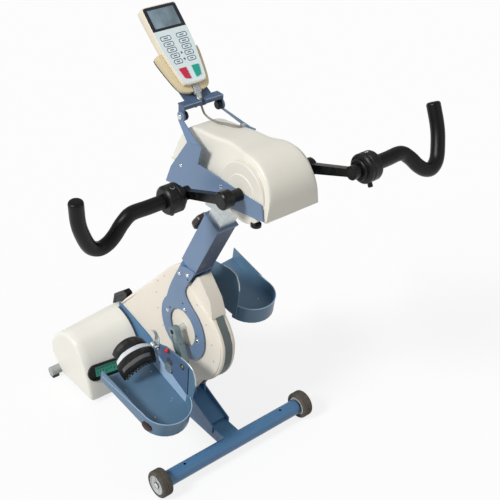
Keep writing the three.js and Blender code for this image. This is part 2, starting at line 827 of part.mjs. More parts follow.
// The hood's tongue fills the front between the covers, a little inside their rims
function stripOutline() {
  const front = coverOutline().slice(0, coverSteps + 3);
  const skirt = coverOutline().pop();
  const [, low, high] = hoodProfile;
  const lap = low.map((value, i) => value + (high[i] - value) * stripLapShare);
  const share = (stripEndY - front[0][0]) / (skirt[0] - front[0][0]);
  const end = [stripEndY, front[0][1] + (skirt[1] - front[0][1]) * share];
  const drawnIn = (depth) => [end, ...front, lap].map(([y, z]) => {
    const radius = Math.hypot(y - legY, z - legZ);
    const kept = (radius - depth) / radius;
    return [legY + (y - legY) * kept, legZ + (z - legZ) * kept];
  });
  return [...drawnIn(stripInset), ...drawnIn(stripInset + hoodWall).reverse()];
}

function legCover() {
  const outline = coverOutline();
  const body = prism(outline, coverInner, coverOuter);
  const room = prism(inset(outline, coverWall), -coverInner, coverOuter - coverWall);
  const mouthFront = coverSkirtY + coverWall;
  const [mouthRear] = coverMouth[coverMouth.length - 1];
  const mouthOutline = [[mouthFront, 0], [mouthFront, coverMouth[0][1]], ...coverMouth, [mouthRear, 0]];
  const mouth = prism(mouthOutline, 0, coverOuter - coverWall);
  const spigot = columnBar(spigotHalf + gap, -spigotDown - gap, columnLength, spigotInset - gap);
  const holes = yokeBolts.map((centre) => rod(postRadius + gap, 0, coverOuter + overrun, centre));
  const axleHole = rod(legAxleRadius + gap * 2, 0, coverOuter + overrun, legCentre);
  const cheekRoom = prism(inset(cheekOutline(), -gap * 2), 0, cheekOuter + gap);
  return cut(body, room, mouth, spigot, axleHole, cheekRoom, ...holes);
}

function drum() {
  const bore = legAxleRadius + gap;
  const half = drumWeb / 2;
  const rim = drumRadius - drumRim;
  const profile = [[bore, -drumHalf], [bore * 2, -drumHalf], [bore * 2, -half], [rim, -half],
    [rim, -drumHalf],
    [drumRadius, -drumHalf], [drumRadius, drumHalf], [rim, drumHalf], [rim, half], [bore * 2, half],
    [bore * 2, drumHalf], [bore, drumHalf], [bore, -drumHalf]];
  return turned(profile, legCentre, midSides);
}

function motorPulley() {
  const bore = motorShaftRadius + gap;
  const profile = [[bore, -drumHalf], [motorPulleyRadius, -drumHalf], [motorPulleyRadius, drumHalf],
    [bore, drumHalf], [bore, -drumHalf]];
  return turned(profile, [motorY, motorZ]);
}

function belt() {
  const loop = prism(beltLoop(beltThickness), -beltHalf, beltHalf);
  return cut(loop, prism(beltLoop(0), -beltHalf - overrun, beltHalf + overrun));
}

function legMotor() {
  const from = frameOuter + webDepth / 2;
  const body = rod(legMotorRadius, from, from + legMotorLength, [motorY, motorZ - gap], roundSides);
  const low = floorPlateHigh + gap;
  const stand = block([from + webDepth, motorY - legMotorRadius * 2 / 3, low],
    [from + legMotorLength - webDepth, motorY + legMotorRadius * 2 / 3, motorZ]);
  const shaft = rod(motorShaftRadius, -drumHalf, from + webDepth, [motorY, motorZ], pinSides);
  return join(body, stand, shaft);
}

function hood() {
  const [rearLow, frontLow, frontHigh, topFront, topRear] = hoodProfile;
  const side = [rearLow, frontLow, frontHigh, topFront, topRear];
  const halves = [hoodBase, hoodBase, hoodTop, hoodTop, hoodTop];
  const shape = (points, shrink) => {
    const face = (sign) => points.map(([y, z], i) => [sign * (halves[i] - shrink), y, z]);
    return loft([face(1), face(-1)]);
  };
  const low = inset(side, hoodWall);
  const down = [rearLow[0] - frontLow[0], rearLow[1] - frontLow[1]];
  const length = Math.hypot(...down);
  const reach = hoodWall * 3;
  const out = [(down[1] / length) * reach, (-down[0] / length) * reach];
  const opened = low.map(([y, z], i) => (i < 2 ? [y + out[0], z + out[1]] : [y, z]));
  const spigot = columnBar(spigotHalf + gap, -spigotDown - gap, columnLength, spigotInset - gap);
  const roomHalf = drumHalf + beltRoomGap;
  const drumRoom = rod(drumRadius + beltThickness + beltRoomGap, -roomHalf, roomHalf, legCentre, roundSides);
  const cheekRoom = prism(inset(cheekOutline(), -gap * 2), -cheekOuter - gap, cheekOuter + gap);
  const strip = prism(stripOutline(), -coverInner + gap, coverInner - gap);
  return join(cut(shape(side, 0), shape(opened, hoodWall), spigot, drumRoom, cheekRoom), strip);
}

function yoke() {
  const neck = prism(yokeNeck, yokeInner, yokeInner + yokeThickness);
  const disc = rod(yokeRadius, yokeInner, yokeInner + yokeThickness, legCentre, roundSides);
  const hole = rod(yokeHole, 0, frameOuter * 2, legCentre, roundSides);
  const outer = yokeInner + yokeThickness;
  const top = outer + boltHeadHeight;
  const dome = [[0, outer - gap], [boltHeadRadius, outer - gap], [boltHeadRadius * domeShare, top], [0, top]];
  const heads = yokeBolts.map((centre) => turned(dome, centre, pinSides));
  return join(cut(join(neck, disc), hole), ...heads);
}

for (const [label, side] of sides) {
  add(trainer, `leg_cover_${label}`, cream, onSide(legCover(), side));
  add(trainer, `yoke_${label}`, blue, onSide(yoke(), side));
}
add(trainer, 'leg_drum', drumGreen, drum());
add(trainer, 'motor_pulley', black, motorPulley());
add(trainer, 'drive_belt', black, belt());
add(trainer, 'leg_motor', greySteel, legMotor());
add(trainer, 'leg_hood', cream, hood());
const legAxleEnd = crankInner + crankHubLength;
add(trainer, 'leg_axle', zinc, rod(legAxleRadius, -legAxleEnd, legAxleEnd, legCentre, pinSides));

// Leg crank, drawn for the right side hanging straight down from the axle
function legCrank() {
  const outer = crankInner + crankThickness;
  const half = crankWidth / 2;
  const ends = [
    ...arc([0, 0], half, 0, 180, crankSteps),
    ...arc([0, -crankRadius], half, 180, 360, crankSteps)];
  const arm = prism(ends, crankInner, outer);
  const panel = prism(
    [...arc([0, -half - crankPanelInset], half - crankPanelInset, 0, 180, 6),
      ...arc([0, -crankRadius + half], half - crankPanelInset, 180, 360, 6)],
    outer - crankPanelDepth, outer + overrun);
  const seat = plateX + sheet + gap;
  const pin = rod(pedalPinRadius, outer - gap, seat + gap, [0, -crankRadius], pinSides);
  const head = rod(pedalHeadRadius, seat, seat + pedalHeadLength, [0, -crankRadius], midSides);
  const bore = rod(legAxleRadius + gap, 0, legAxleEnd + gap, [0, 0], pinSides);
  return cut(join(cut(arm, panel), pin, head), bore);
}

const legCrankGroup = groupAt(trainer, 0, legY, legZ, -crankAngle);
add(legCrankGroup, 'leg_crank_left', greySteel, mirrored(legCrank()));
add(groupAt(trainer, 0, legY, legZ, 180 - crankAngle), 'leg_crank_right', greySteel, legCrank());

// Foot shell, drawn for the right side about its pivot; Y runs to the toe, the sole is below
const soleTop = -soleDrop;

function shellPlan(wall) {
  const heelArc = Array.from({ length: heelSteps + 1 }, (_, i) => {
    const angle = (i / heelSteps) * Math.PI;
    return [heelX + (heelRadius - wall) * Math.cos(angle), heelU - (heelRadius - wall) * Math.sin(angle)];
  });
  return [[toeInner[0] + wall, toeInner[1] + wall / 3], [heelX - heelRadius + wall, heelU],
    ...heelArc.reverse(),
    [toeOuter[0] - wall, toeOuter[1] + wall / 3]];
}

function footShell() {
  const [outerX, outerU] = toeOuter;
  const base = slab(shellPlan(0), soleTop - sheet, soleTop);
  const rimBody = slab(shellPlan(0), soleTop - sheet, soleTop + rimAtHeel);
  const rimRoom = slab(
    [...shellPlan(sheet).slice(0, -1), [outerX - sheet, outerU + overrun],
      [toeInner[0] + sheet, toeInner[1] + overrun]],
    soleTop, soleTop + rimAtHeel + overrun);
  const reach = heelX + heelRadius + overrun;
  const slopeCut = prism(
    [[outerU + overrun, soleTop + rimAtToe], [heelU, soleTop + rimAtHeel], [heelU, soleTop + rimAtHeel * 2],
      [outerU + overrun, soleTop + rimAtHeel * 2]],
    plateX, reach);
  const toeCut = slab(
    [toeInner, toeOuter, [outerX, outerU + toeRoom], [toeInner[0], toeInner[1] + toeRoom]],
    soleTop - overrun, soleTop + rimAtHeel + overrun);
  const skirt = cut(
    slab(shellPlan(0), soleTop - heelSkirt, soleTop - sheet + gap),
    slab(shellPlan(sheet), soleTop - heelSkirt - overrun, soleTop),
    block(
      [plateX - overrun, heelSkirtFrom, soleTop - heelSkirt * 2],
      [outerX + overrun, outerU + overrun, soleTop]));
  const plate = prism(plateOutline.map(([u, v]) => [u, v + soleTop]), plateX, plateX + sheet);
  const pinHole = rod(pedalPinRadius + gap, 0, plateX * 2, [0, 0], pinSides);
  return cut(join(base, cut(rimBody, rimRoom, slopeCut, toeCut), skirt, plate), pinHole);
}

const buttonCentre = [buttonPlace[0], buttonPlace[1] + soleTop];

function releaseButton() {
  const start = plateX + sheet + gap + buttonTravel;
  const end = start + buttonLength;
  const profile = [[0, plateX - buttonCollar], [buttonStemRadius, plateX - buttonCollar],
    [buttonStemRadius, start],
    [buttonRadius, start], [buttonRadius, end - buttonCollar], [buttonRadius * domeShare, end], [0, end]];
  return turned(profile, buttonCentre, pinSides);
}

const [hingeU, hingeV] = hingePlace;

// The bracket stands on the shell's inner plate and holds the cuff's pin along the foot
function cuffBracket() {
  const low = hingeV + soleTop;
  const pinX = plateX + sheet + hingeReach;
  const from = hingeU - hingeLength / 2;
  const foot = block(
    [plateX + sheet + gap, from, low - hingeReach],
    [plateX + sheet * 2, from + hingeLength - sheet, low + hingeReach / 2]);
  const ears = [from, from + hingeLength - sheet * 2].map(
    (y) => block([plateX + sheet + gap, y, low - sheet], [pinX + sheet, y + sheet, low + sheet]));
  const pin = rodY(hingePinRadius, from, from + hingeLength - sheet, pinX, low);
  return join(foot, ...ears, pin);
}

// The cuff's arch over the instep, skinned through three sections along the foot
function instepStrap() {
  const rings = [cuffToe, cuffMiddle, cuffHeel].map((points, k) => {
    const u = cuffAlong[k];
    const lower = points.map(([x, v], i) => {
      const before = points[Math.max(i - 1, 0)];
      const after = points[Math.min(i + 1, points.length - 1)];
      const run = [after[0] - before[0], after[1] - before[1]];
      const share = cuffThickness / Math.hypot(...run);
      return [x + run[1] * share, v - run[0] * share];
    });
    return [...points, ...lower.reverse()].map(([x, v]) => [x, u, v + soleTop]);
  });
  const pinX = plateX + sheet + hingeReach;
  const from = hingeU - hingeLength / 2 + sheet + gap;
  const to = hingeU + hingeLength / 2 - sheet * 2 - gap;
  const high = hingeV + soleTop;
  const eye = rodY(hingeReach / 2, from, to, pinX, high);
  const tab = block([pinX - sheet, from, high - hingeReach - sheet], [pinX + sheet, to, high]);
  const bore = rodY(hingePinRadius + gap, from - overrun, to + overrun, pinX, high);
  return cut(join(loft(rings), eye, tab), bore);
}

// Squares a circle's cosine or sine off a little
const rounded = (value) => Math.sign(value) * Math.abs(value) ** padSquareShare;

function instepPad() {
  const curve = new THREE.CatmullRomCurve3(padArch.map(([x, v]) => new THREE.Vector3(x, 0, v + soleTop)));
  const rings = Array.from({ length: padSteps + 1 }, (_, step) => {
    const t = step / padSteps;
    const centre = curve.getPoint(t);
    const ahead = curve.getTangent(t);
    const along = Math.min(Math.max(t, padTipShare), 1 - padTipShare);
    const swell = padEndShare + (1 - padEndShare) * Math.sqrt(Math.sin(Math.PI * along));
    return Array.from({ length: padSides }, (_unused, i) => {
      const angle = (i / padSides) * Math.PI * 2;
      const drawnIn = taperShare + (1 - taperShare) * swell;
      const across = (padLength / 2) * rounded(Math.cos(angle)) * drawnIn;
      const out = (padThickness / 2) * rounded(Math.sin(angle)) * swell;
      return [centre.x - ahead.z * out, padFrom + padLength / 2 + across, centre.z + ahead.x * out];
    });
  });
  return loft(rings);
}

const footPivot = (turn) => [
  legY - crankRadius * Math.sin(turn * degree),
  legZ - crankRadius * Math.cos(turn * degree)];
const [leftPivotY, leftPivotZ] = footPivot(crankAngle);
const [rightPivotY, rightPivotZ] = footPivot(crankAngle + 180);
const leftFoot = groupAt(trainer, 0, leftPivotY, leftPivotZ, leftPitch);
const rightFoot = groupAt(trainer, 0, rightPivotY, rightPivotZ, rightPitch);
const stemHole = rod(buttonStemRadius + gap, 0, plateX * 2, buttonCentre);
add(leftFoot, 'foot_shell_left', shellBlue, mirrored(cut(footShell(), stemHole)));
add(rightFoot, 'foot_shell_right', shellBlue, footShell());
add(leftFoot, 'release_button', red, mirrored(releaseButton()));
add(leftFoot, 'cuff_bracket', zinc, mirrored(cuffBracket()));
add(leftFoot, 'instep_strap', black, mirrored(instepStrap()));
add(leftFoot, 'instep_pad', black, mirrored(instepPad()));

// Column: the fixed outer tube, the zinc mast that slides in it, and the clamp knob
const inMast = (columnWidth - mastWidth) / 2;

function outerColumn() {
  const body = columnBar(columnWidth / 2, 0, columnLength, 0);
  const bore = columnBar(columnWidth / 2 - columnWall, -overrun, columnLength + overrun, columnWall);
  const collarLow = columnLength - collarHeight;
  const collar = columnBar(columnWidth / 2 + collarThickness, collarLow, columnLength, -collarThickness);
  const mouth = columnBar(mastWidth / 2 + gap, collarLow - overrun, columnLength + overrun, inMast - gap);
  const guide = cut(columnBar(columnWidth / 2 - gap, collarLow, columnLength - gap, gap), mouth);
  const stemRoom = knobStemRadius + gap;
  const stem = knobPart([[0, -inMast], [stemRoom, -inMast], [stemRoom, knobStandoff], [0, knobStandoff]]);
  return cut(join(cut(join(body, collar), bore), guide), mouth, stem);
}

// A profile of [radius, along] points turned about the knob's line, which leaves the rear face
function knobPart(profile, lobes = 0) {
  const solid = turned(profile, [0, 0], lobes > 0 ? lobes * lobeSides : pinSides);
  const geometry = geometryOf(solid);
  if (lobes > 0) {
    const place = geometry.getAttribute('position');
    for (let i = 0; i < place.count; i += 1) {
      const [y, z] = [place.getY(i), place.getZ(i)];
      const wave = 1 - (knobLobeDepth / knobRadius / 2) * (1 - Math.cos(lobes * Math.atan2(z, y)));
      const apply = Math.hypot(y, z) > knobRadius * knobSkirtShare ? wave : 1;
      place.setXYZ(i, place.getX(i), y * apply, z * apply);
    }
  }
  geometry.rotateZ(Math.PI / 2);
  geometry.rotateX(lean * degree);
  const [y, z] = onColumn(columnLength - knobFromTop, columnWidth);
  geometry.translate(0, y, z);
  return solidOf(geometry);
}

function clampKnob() {
  const inside = inMast - gap;
  const stemEnd = knobStandoff + overrun;
  const end = knobStandoff + knobThickness;
  const shoulderRadius = knobRadius * taperShare;
  const stem = knobPart([[0, -inside], [knobStemRadius, -inside], [knobStemRadius, stemEnd], [0, stemEnd]]);
  const head = knobPart([[0, knobStandoff], [shoulderRadius, knobStandoff],
    [knobRadius, knobStandoff + knobThickness / 4], [knobRadius, end - knobThickness / 4],
    [shoulderRadius, end], [0, end]], knobLobes);
  return join(stem, head);
}

const crossCentre = onColumn(columnLength + mastOutside - crossHigh / 2, columnWidth / 2);

// The mast carries a cross tube for the arm plates and a platform for the arm motor
function mast() {
  const top = columnLength + mastOutside;
  const tube = cut(
    columnBar(mastWidth / 2, columnLength - mastInside, top, inMast),
    columnBar(mastWidth / 2 - mastWall, columnLength - mastInside - overrun, top - crossHigh,
      inMast + mastWall));
  const [y, z] = crossCentre;
  const cross = block([-armPlateInner + gap, y - crossDeep / 2, z - crossHigh / 2],
    [armPlateInner - gap, y + crossDeep / 2, z + crossHigh / 2]);
  const shelfHigh = z + crossHigh / 2;
  const shelf = block(
    [-armMotorHalf, armY - platformAhead, shelfHigh - platformThickness],
    [armMotorHalf, y, shelfHigh]);
  return join(tube, cross, shelf);
}

const shelfTop = crossCentre[1] + crossHigh / 2;

add(trainer, 'outer_column', blue, outerColumn());
add(trainer, 'inner_column', zinc, mast());
add(trainer, 'column_knob', brownBlack, clampKnob());

// Arm unit: a housing with a drum-shaped front and a narrower tail, open below
const armCentre = [armY, armZ];
const armLow = armZ - armDrop;
const fromArm = ([y, z]) => [armY + y, armZ + z];
const fromTilt = ([y, z]) => [tiltY + y, tiltZ + z];
const adjusterY = armY - adjusterAhead;

// Draws the sides in toward the top
function tapered(solid) {
  const geometry = geometryOf(solid);
  const place = geometry.getAttribute('position');
  const rise = armZ + armRadius - armLow;
  for (let i = 0; i < place.count; i += 1) {
    const above = Math.max(place.getZ(i) - armLow, 0) / rise;
    place.setX(i, place.getX(i) * (1 - above * (1 - armTopHalf / armHalf)));
  }
  return solidOf(geometry);
}

function armFront(wall) {
  const radius = armRadius - wall;
  const outline = [...arc(armCentre, radius, 0, 180, roundSides / 2),
    [armY + radius, armLow], [armY - radius, armLow]];
  return tapered(prism(outline, -armHalf + wall, armHalf - wall, wall > 0 ? 0 : shoulder / 2));
}

function armTail(wall) {
  const rings = armRear.map(([behind, top, foot, high, low], i) => {
    const t = top - wall;
    const f = foot - wall;
    const [y, h] = fromArm([behind, high - wall]);
    const rear = i === armRear.length - 1 ? y - wall : y;
    const half = [[f, rear, armZ + low], [t, rear, h - shoulder], [t - shoulder, rear, h]];
    return [...half, ...half.map(([x, , z]) => [-x, rear, z]).reverse()];
  });
  return loft(rings);
}

function armHousing() {
  const outer = join(armFront(0), armTail(0));
  const inner = join(armFront(armWall), armTail(armWall));
  const mouthLow = armZ + Math.min(...armRear.map(([, , , , low]) => low));
  const below = shifted(inner, 0, 0, -(armLow - mouthLow) - overrun);
  const bosses = [-1, 1].map((side) => {
    const high = armHalf - gap;
    const root = high - bossHigh * 4;
    const profile = [[0, root], [bossRadius, root], [bossRadius, high - bossHigh],
      [bossRadius - bossHigh, high], [0, high]];
    return onSide(turned(profile, armCentre), side);
  });
  const crossRoom = block([-armHalf * 2, crossCentre[0] - crossDeep / 2 - gap, mouthLow - overrun],
    [armHalf * 2, crossCentre[0] + crossDeep / 2 + gap, crossCentre[1] + crossHigh / 2 + gap]);
  const axleHole = rod(armAxleRadius + gap, -armHalf * 2, armHalf * 2, armCentre, pinSides);
  const [endX, endY, endZ] = cordRoute[cordRoute.length - 1];
  const glandHalf = glandRadius * taperShare;
  const gland = join(
    rod(glandRadius, endX + gap, endX + gap + glandLength, [endY, endZ], pinSides),
    block(
      [endX + gap, endY - glandHalf, endZ - glandFootDepth],
      [endX + glandRadius, endY + glandHalf, endZ]));
  const bodyWithBoss = join(outer, cut(gland, armTail(armWall / 2)), ...bosses);
  return cut(bodyWithBoss, inner, below, crossRoom, axleHole);
}

function armPlateSide(withFlange) {
  const outer = armPlateInner + armPlateThickness;
  const flat = prism(armPlate.map(fromArm), armPlateInner, outer);
  const axleHole = rod(sleeveRadius + gap * 2, 0, sleeveEnd * 2, armCentre, roundSides);
  const [footRear, footFront] = earFoot.map(fromArm);
  const [headRear, headFront] = earHead.map(fromTilt);
  const upright = loft([
    [[armPlateInner, ...footRear], [outer, ...footRear],
      [outer, ...footFront], [armPlateInner, ...footFront]],
    [[earX, ...headRear], [earX + earThickness, ...headRear],
      [earX + earThickness, ...headFront], [earX, ...headFront]]]);
  const ear = rod(earRadius, earX, earX + earThickness, [tiltY, tiltZ], midSides);
  const earHole = rod(knobBoltRadius + gap, 0, earX * 2, [tiltY, tiltZ], pinSides);
  const pieces = [flat, upright, ear];
  if (withFlange) {
    const low = lowOfPlate(adjusterY);
    pieces.push(block(
      [armPlateInner - flangeDepth, adjusterY - flangeLength / 2, low],
      [outer, adjusterY + flangeLength / 2, low + sheet]));
  }
  const stem = post(adjusterStem + gap, 0, armZ, armPlateInner - flangeDepth / 2, adjusterY);
  return cut(join(...pieces), axleHole, earHole, ...(withFlange ? [stem] : []));
}

// Height of the plate's lower edge at one place along it
function lowOfPlate(y) {
  const [, front, rear] = armPlate.map(fromArm);
  return front[1] + ((rear[1] - front[1]) * (y - front[0])) / (rear[0] - front[0]);
}

function adjusterFoot() {
  const top = lowOfPlate(adjusterY) + sheet;
  const x = armPlateInner - flangeDepth / 2;
  const low = top - adjusterLength;
  const stem = post(adjusterStem, low, top, x, adjusterY);
  const disc = post(adjusterRadius, low - adjusterDisc, low + gap, x, adjusterY, midSides);
  return join(stem, disc);
}

function armMotor() {
  const low = shelfTop + gap;
  const body = block(
    [-armMotorHalf, armY - armMotorAhead, low],
    [armMotorHalf, armY + armMotorBehind, armZ + armMotorAbove]);
  return cut(body, rod(armAxleRadius + gap, -armHalf, armHalf, armCentre, pinSides));
}

add(trainer, 'arm_housing', cream, armHousing());
add(trainer, 'arm_motor', greySteel, armMotor());
const armAxleEnd = sleeveEnd + gap * 4;
add(trainer, 'arm_axle', zinc, rod(armAxleRadius, -armAxleEnd, armAxleEnd, armCentre, pinSides));
add(trainer, 'arm_plate_right', blue, armPlateSide(false));
add(trainer, 'arm_plate_left', blue, mirrored(armPlateSide(true)));
add(trainer, 'adjuster_foot', black, mirrored(adjusterFoot()));

// Arm crank, drawn for the right side with its bar toward +Y
function armCrank() {
  const outer = armPlateInner + armPlateThickness + gap;
  const sleeve = rod(sleeveRadius, outer, sleeveEnd + overrun, [0, 0], midSides);
  const head = turned([[0, sleeveEnd], [headRadius - overrun, sleeveEnd], [headRadius, sleeveEnd + overrun],
    [headRadius, headEnd - overrun], [headRadius - overrun, headEnd], [0, headEnd]], [0, 0]);
  const half = barWidth / 2;
  const thin = half * taperShare;
  const barOuter = barInner + barThickness;
  const outline = [[0, -half], [armCrankRadius, -thin], [armCrankRadius, thin], [0, half]];
  const bar = prism(outline, barInner, barOuter);
  const end = rod(barEndRadius, barInner, barOuter, [armCrankRadius, 0], midSides);
  const pin = rod(clampPinRadius, barInner, clampInner + clampPinLength, [armCrankRadius, 0], pinSides);
  const bore = rod(armAxleRadius + gap, 0, armAxleEnd + gap, [0, 0], pinSides);
  return cut(join(sleeve, head, bar, end, pin), bore);
}

add(groupAt(trainer, 0, armY, armZ, -armCrankAngle), 'arm_crank_left', black, mirrored(armCrank()));
add(groupAt(trainer, 0, armY, armZ, 180 - armCrankAngle), 'arm_crank_right', black, armCrank());

// Clamp and grip, drawn for the right side about the crank's end
function gripClamp() {
  const profile = [[0, clampInner], [clampHub, clampInner], [clampHub, clampInner + clampStep],
    [clampRadius, clampInner + clampStep + overrun], [clampRadius, clampOuter - clampChamfer],
    [clampRadius - clampChamfer, clampOuter], [0, clampOuter]];
  const stud = post(clampStudRadius, -clampRadius - clampStudLength, 0, (clampInner + clampOuter) / 2, 0);
  const bore = rod(clampPinRadius + gap, 0, clampInner + clampPinLength + gap, [0, 0], pinSides);
  return cut(join(turned(profile), stud), bore);
}

function grip() {
  const spots = gripPath.map(([x, z]) => new THREE.Vector3(x, 0, z));
  const curve = new THREE.CatmullRomCurve3(spots, false, 'centripetal');
  const circle = circleShape(gripRadius, gripSides);
  const options = { extrudePath: curve, steps: gripSteps, bevelEnabled: false };
  const tube = solidOf(new THREE.ExtrudeGeometry(circle, options));
  const end = new THREE.SphereGeometry(gripRadius, gripSides, gripEndRings * 2);
  end.rotateX(Math.PI / 2);
  const [x, z] = gripPath[gripPath.length - 1];
  end.scale(1, 1, 1 / 2);
  end.translate(x, 0, z);
  return join(tube, solidOf(end));
}

const gripTurns = { left: [-armCrankAngle, leftGripTilt], right: [180 - armCrankAngle, rightGripTilt] };
for (const [label, side] of sides) {
  const [turn, tilt] = gripTurns[label];
  const y = armY + armCrankRadius * Math.cos(turn * degree);
  const z = armZ + armCrankRadius * Math.sin(turn * degree);
  const group = groupAt(trainer, 0, y, z, tilt);
  add(group, `clamp_${label}`, black, onSide(gripClamp(), side));
  add(group, `grip_${label}`, black, onSide(grip(), side));
}

// Handset and cradle, on their slope: X across, Y up the slope, Z out of the face
const handsetGroup = groupAt(trainer, 0, ...slopeOrigin, slope);
const outlineBoth = (half) => [
  ...half.map(([x, s]) => [x, -s]),
  ...half.slice().reverse().map(([x, s]) => [-x, -s])];

function handsetShape(grow) {
  const half = [[handsetTop - grow, -grow], ...handsetOutline].map(([x, s], i, all) => [
    x + grow, i === all.length - 1 ? s + grow : s]);
  return slab(outlineBoth(half), headLow - grow, faceHigh);
}

// The underside rises from the head to the tail
function underCut(grow) {
  const head = handsetOutline[1][1];
  const tail = handsetOutline[handsetOutline.length - 1][1] + overrun;
  const below = headLow - overrun * 2;
  const wedge = [[-head, headLow - grow], [-tail, tailLow - grow], [-tail, below], [-head, below]];
  return prism(wedge, -cradleHalfTop * 2, cradleHalfTop * 2);
}

function handsetBody() {
  const body = cut(handsetShape(0), underCut(0));
  const screenRoom = block([-screenHalf - gap, -screenTo - gap, faceHigh - screenDepth - gap],
    [screenHalf + gap, -screenFrom + gap, faceHigh + overrun]);
  const keyRoom = block([keyInner - gap, -keyTo - gap, faceHigh - keyPocket],
    [keyOuter + gap, -keyFrom + gap, faceHigh + overrun]);
  return cut(body, screenRoom, keyRoom, mirrored(keyRoom));
}

function key() {
  return block([keyInner, -keyTo, faceHigh - keyPocket / 2], [keyOuter, -keyFrom, faceHigh + keyHigh]);
}

function cradle() {
  const profile = [[-cradleTop, cradleRim], [-cradleTop, cradleHeadLow], [-cradleEnd, cradleHeelLow],
    [-cradleEnd, cradleRim]];
  const body = prism(profile, -cradleHalfTop, cradleHalfTop);
  const planHalf = [[cradleHalfTop, cradleTop], [cradleHalfEnd, cradleEnd]];
  const plan = slab(outlineBoth(planHalf), cradleHeadLow - overrun, cradleRim + overrun);
  const room = cut(handsetShape(fitGap), underCut(fitGap));
  const notch = block(
    [-cradleNotch, -cradleEnd - overrun, -cradleNotch],
    [cradleNotch, -plugFrom, cradleRim + overrun]);
  return cut(body.intersect(plan), room, notch);
}

add(handsetGroup, 'handset_body', cream, handsetBody());
add(handsetGroup, 'handset_screen', glass,
  block([-screenHalf, -screenTo, faceHigh - screenDepth], [screenHalf, -screenFrom, faceHigh - gap]));
add(handsetGroup, 'key_stop', red, mirrored(key()));
add(handsetGroup, 'key_start', green, key());
add(handsetGroup, 'cradle', tan, cradle());
const plugGeometry = new THREE.CylinderGeometry(plugRadius, plugRadius, plugTo - plugFrom, pinSides);
plugGeometry.translate(0, -(plugFrom + plugTo) / 2, 0);
add(handsetGroup, 'cord_plug', greyPlastic, solidOf(plugGeometry));

// A place on the handset's slope: the distance down it from the top, and the height over it
const onSlope = (down, high) => [
  slopeOrigin[0] - down * Math.cos(slope * degree) - high * Math.sin(slope * degree),
  slopeOrigin[1] - down * Math.sin(slope * degree) + high * Math.cos(slope * degree)];
const underRise = cradleHeelLow - cradleHeadLow;
const underRun = cradleEnd - cradleTop;
const seatGap = gap * 1.2;

// The bracket tilts on the arm plates' ears and carries the cradle on its sloping plate
function handsetBracket() {
  const rise = (underRise * plateLap) / underRun - seatGap;
  const high = onSlope(cradleTop + plateLap, cradleHeadLow + rise);
  const low = onSlope(cradleEnd + plateLap, cradleHeelLow + rise);
  const under = ([y, z]) => [y, z - bracketSheet];
  const frontFace = tiltY - bracketSheet * 3;
  const plate = prism([low, high, under(high), under(low)], -bracketPlateHalf, bracketPlateHalf);
  const strip = block(
    [-bracketOuter, low[0] - stripDeep, low[1] - bracketSheet],
    [bracketOuter, low[0] + bracketSheet, low[1]]);
  const front = block(
    [-bracketOuter, frontFace, low[1] - stripHigh],
    [bracketOuter, frontFace + bracketSheet, low[1]]);
  const ear = join(
    rod(earRadius, bracketOuter - bracketSheet, bracketOuter, [tiltY, tiltZ], midSides),
    block([bracketOuter - bracketSheet, frontFace, tiltZ], [bracketOuter, tiltY + earRadius, low[1]]));
  const hole = rod(knobBoltRadius + gap, -bracketOuter * 2, bracketOuter * 2, [tiltY, tiltZ], pinSides);
  const roomHalf = plugRadius + gap * 2;
  const cordRoom = block(
    [-roomHalf, low[0] - stripDeep - overrun, tiltZ],
    [roomHalf, low[0] + plugRadius, low[1] + overrun * 2]);
  return cut(join(plate, strip, front, ear, mirrored(ear)), hole, cordRoom);
}

function sideKnob() {
  const inner = bracketOuter - bracketSheet - gap;
  const outer = earX + earThickness + gap;
  const start = inner - sideKnobLength;
  const dome = outer + boltDomeLength;
  const edge = sideKnobLength / 4;
  const profile = [[0, start], [sideKnobRadius * taperShare, start], [sideKnobRadius, start + edge],
    [sideKnobRadius, inner - edge], [sideKnobRadius * domeShare, inner], [knobBoltRadius, inner],
    [knobBoltRadius, outer], [boltDomeRadius, outer], [boltDomeRadius * domeShare, dome], [0, dome]];
  return turned(profile, [tiltY, tiltZ], midSides);
}

add(trainer, 'handset_bracket', blue, handsetBracket());
for (const [label, side] of sides) {
  add(trainer, `bracket_knob_${label}`, black, onSide(sideKnob(), side));
}

// The handset's cord runs from its plug over the housing to a gland
const cordSpots = cordRoute.map((point) => new THREE.Vector3(...point));
const cordCurve = new THREE.CatmullRomCurve3(cordSpots, false, 'centripetal');
const cordSection = circleShape(cordRadius, cordSides);
add(trainer, 'handset_cord', greyPlastic,
  solidOf(new THREE.ExtrudeGeometry(cordSection,
    { extrudePath: cordCurve, steps: cordSteps, bevelEnabled: false })));

export default trainer;
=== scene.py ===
# A floor-standing trainer for legs and arms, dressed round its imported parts.
# Sizes are in millimetres in the part's own frame, and pieces are placed in metres.
import json
import math

import bmesh
import bpy
from mathutils import Matrix, Vector

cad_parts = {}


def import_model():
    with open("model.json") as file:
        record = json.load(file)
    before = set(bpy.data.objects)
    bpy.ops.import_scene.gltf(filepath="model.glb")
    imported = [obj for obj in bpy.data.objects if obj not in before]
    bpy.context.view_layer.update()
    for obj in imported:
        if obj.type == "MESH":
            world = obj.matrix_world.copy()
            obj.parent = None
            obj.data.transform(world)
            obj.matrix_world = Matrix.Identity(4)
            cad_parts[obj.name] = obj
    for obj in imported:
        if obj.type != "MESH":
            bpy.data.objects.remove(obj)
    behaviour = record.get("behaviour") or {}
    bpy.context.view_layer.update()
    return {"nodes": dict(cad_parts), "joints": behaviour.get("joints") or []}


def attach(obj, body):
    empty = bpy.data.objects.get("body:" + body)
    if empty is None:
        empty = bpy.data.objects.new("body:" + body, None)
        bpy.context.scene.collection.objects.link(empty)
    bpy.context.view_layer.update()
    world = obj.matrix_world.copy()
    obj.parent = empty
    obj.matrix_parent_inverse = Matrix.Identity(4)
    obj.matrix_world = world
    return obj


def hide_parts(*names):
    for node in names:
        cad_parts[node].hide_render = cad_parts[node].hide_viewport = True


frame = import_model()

mm = 0.001
tau = 2 * math.pi
